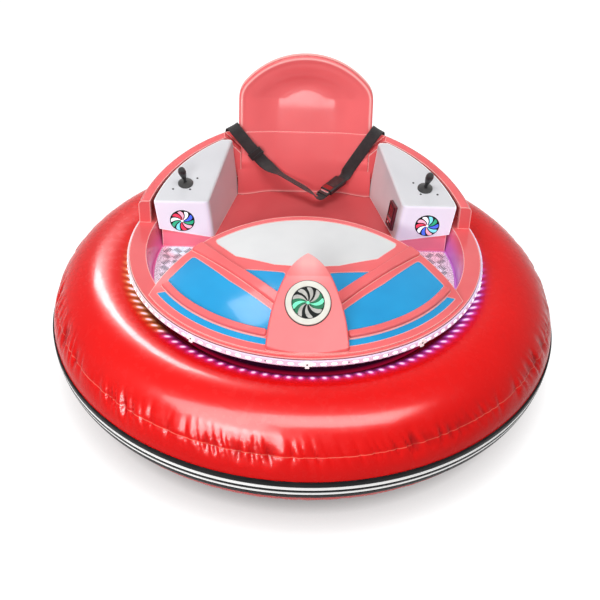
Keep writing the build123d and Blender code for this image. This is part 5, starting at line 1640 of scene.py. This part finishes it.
def bolt_head(centre, across, out, radius, tall):
    """A washer with a chamfered hexagon head on it; rings are given as shares of the radius and the height."""
    up = out.cross(across)
    shapes = []
    for sides, rings in ((18, WASHER_RINGS), (6, HEAD_RINGS)):
        points = []
        for reach, height in rings:
            for side in range(sides):
                turn = 2 * math.pi * side / sides
                points.append(centre + (across * math.cos(turn) + up * math.sin(turn)) * (radius * reach)
                              + out * (tall * height))
        shapes.append((points, grid_faces(len(rings), sides, columns_closed=True)))
    shapes[1][1].append(tuple(range(12, 18)))
    return join(shapes)


def bolt_circle(x, out, count, start, reach, radius, tall):
    """Bolts in a circle about the drive wheels' axle."""
    turns = [math.radians(start + 360 / count * step) for step in range(count)]
    return [bolt_head(Vector((x, AXLE_Y + reach * math.cos(turn), AXLE_Z + reach * math.sin(turn))), BACKWARD, out,
                      radius, tall) for turn in turns]


plate_bolts = [
    bolt_head(Vector((x + shift_x, y + shift_y, CASTER_PLATE_Z)), RIGHTWARD, UP, 4.5, 4.2)
    for x in (-CASTER_X, CASTER_X) for y in CASTER_YS for shift_x in (-28.0, 28.0) for shift_y in (-33.0, 33.0)
]
for side in (-1, 1):
    for x, y in POST_PLACES:
        for shift_x, shift_y in ((-20.0, -20.0), (20.0, 20.0), (-20.0, 20.0), (20.0, -20.0)):
            foot = Vector((side * x + shift_x, y + shift_y, POST_FOOT_Z))
            plate_bolts.append(bolt_head(foot, RIGHTWARD, -UP, 4.0, 3.8))
    plate_bolts += bolt_circle(side * GEARBOX_FACE, RIGHTWARD * -side, 6, 30.0, 41.5, 2.2, 2.2)
make_piece("frame_bolts", *join(plate_bolts), [zinc], "zinc_steel", smooth=False)
for side, word in ((-1, "left"), (1, "right")):
    nuts = bolt_circle(side * HUB_FACE, RIGHTWARD * side, 5, 54.0, 17.0, 3.6, 4.0)
    make_piece(f"wheel_nuts_{word}", *join(nuts), [zinc], "zinc_steel", body=f"drive_wheel_{word}", smooth=False)
print("bolts", len(plate_bolts))

# %% [markdown]
# The drive tyre is solid rubber with a square tread. Its section is turned about the wheel's axle, with
# three grooves let into the crown and a round shoulder on each side, and it replaces the plain CAD ring.

# %% Drive tyres
TYRE_X = 230.0
TYRE_CROWN = 99.9
TYRE_RIM = 66.05
TYRE_HALF = 24.9
TYRE_SHOULDER = 9.5
TYRE_STEPS = 96
GROOVES = (-11.0, 0.0, 11.0)
GROOVE_EDGE = [
    # distance from the groove's middle, radius
    (2.2, TYRE_CROWN),
    (1.6, TYRE_CROWN - 0.6),
    (1.1, TYRE_CROWN - 2.9),
]


def tyre_section():
    """Closed (radius, offset) section of the tyre, offset measured from its middle plane."""
    turns = [math.radians(15 * step) for step in range(7)]
    shoulder = [
        (TYRE_CROWN - TYRE_SHOULDER * (1 - math.sin(turn)), TYRE_HALF - TYRE_SHOULDER * (1 - math.cos(turn)))
        for turn in turns
    ]
    section = [(TYRE_RIM, -TYRE_HALF)] + [(reach, -offset) for reach, offset in shoulder]
    for groove in GROOVES:
        section += [(reach, groove - away) for away, reach in GROOVE_EDGE]
        section += [(reach, groove + away) for away, reach in reversed(GROOVE_EDGE)]
    return section + shoulder[::-1] + [(TYRE_RIM, TYRE_HALF)]


section = tyre_section()
tyre_faces = grid_faces(TYRE_STEPS, len(section), rows_closed=True, columns_closed=True)
for side, word in ((-1, "left"), (1, "right")):
    tyre_points = []
    for step in range(TYRE_STEPS):
        turn = 2 * math.pi * step / TYRE_STEPS
        tyre_points += [
            (side * TYRE_X + offset, AXLE_Y + reach * math.cos(turn), AXLE_Z + reach * math.sin(turn))
            for reach, offset in section
        ]
    tyre = make_piece(f"grooved_tyre_{word}", tyre_points, tyre_faces, [tyre_rubber], "tyre_rubber",
                      body=f"drive_wheel_{word}")
    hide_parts(f"drive_tyre_{word}")
print("tyre section points", len(section))

# %% [markdown]
# The floor is a studio sweep: a pale paint that answers light, and a white glow of its own that makes it
# blend into the background. The glow sinks wherever the object closes off the sky above the floor, and under
# the car, which paints a soft grey shadow round the ring that takes little colour from it.

# %% Floor
FLOOR_HALF = 9.0
FLOOR_GLOW = 0.97
FLOOR_GREY = 0.25
SKY_DISTANCE = 0.12
SKY_POWER = 0.50
SHADOW_REACH = (0.56, 0.68)
floor_paint = bpy.data.materials.new("floor paint")
floor_paint.use_nodes = True
floor_tree = floor_paint.node_tree
floor_tree.nodes.clear()
floor_body = floor_tree.nodes.new("ShaderNodeBsdfDiffuse")
floor_body.inputs["Color"].default_value = (FLOOR_GREY, FLOOR_GREY, FLOOR_GREY, 1.0)
floor_glow = floor_tree.nodes.new("ShaderNodeEmission")
floor_glow.inputs["Color"].default_value = (*WHITE, 1.0)
floor_sum = floor_tree.nodes.new("ShaderNodeAddShader")
floor_out = floor_tree.nodes.new("ShaderNodeOutputMaterial")
open_sky = floor_tree.nodes.new("ShaderNodeAmbientOcclusion")
open_sky.samples = 16
open_sky.inputs["Distance"].default_value = SKY_DISTANCE
floor_reach = floor_tree.nodes.new("ShaderNodeVectorMath")
floor_reach.operation = "LENGTH"
floor_tree.links.new(floor_tree.nodes.new("ShaderNodeTexCoord").outputs["Object"], floor_reach.inputs[0])
# Painted shadow: the glow dims where occlusion closes the sky and inside the ring's reach.
glow_with_painted_shadow = product(
    floor_tree, seen_directly(floor_tree), math_node(floor_tree, "POWER", open_sky.outputs["AO"], SKY_POWER),
    ramp_node(floor_tree, floor_reach.outputs["Value"], *SHADOW_REACH), FLOOR_GLOW,
)
floor_tree.links.new(glow_with_painted_shadow, floor_glow.inputs["Strength"])
floor_tree.links.new(floor_body.outputs[0], floor_sum.inputs[0])
floor_tree.links.new(floor_glow.outputs[0], floor_sum.inputs[1])
floor_tree.links.new(floor_sum.outputs[0], floor_out.inputs[0])
floor_mesh = bpy.data.meshes.new("floor")
floor_mesh.from_pydata(
    [(x * FLOOR_HALF, y * FLOOR_HALF, 0.0) for x, y in ((-1, -1), (1, -1), (1, 1), (-1, 1))], [], [(0, 1, 2, 3)]
)
floor_mesh.materials.append(floor_paint)
floor = bpy.data.objects.new("floor", floor_mesh)
scene.collection.objects.link(floor)
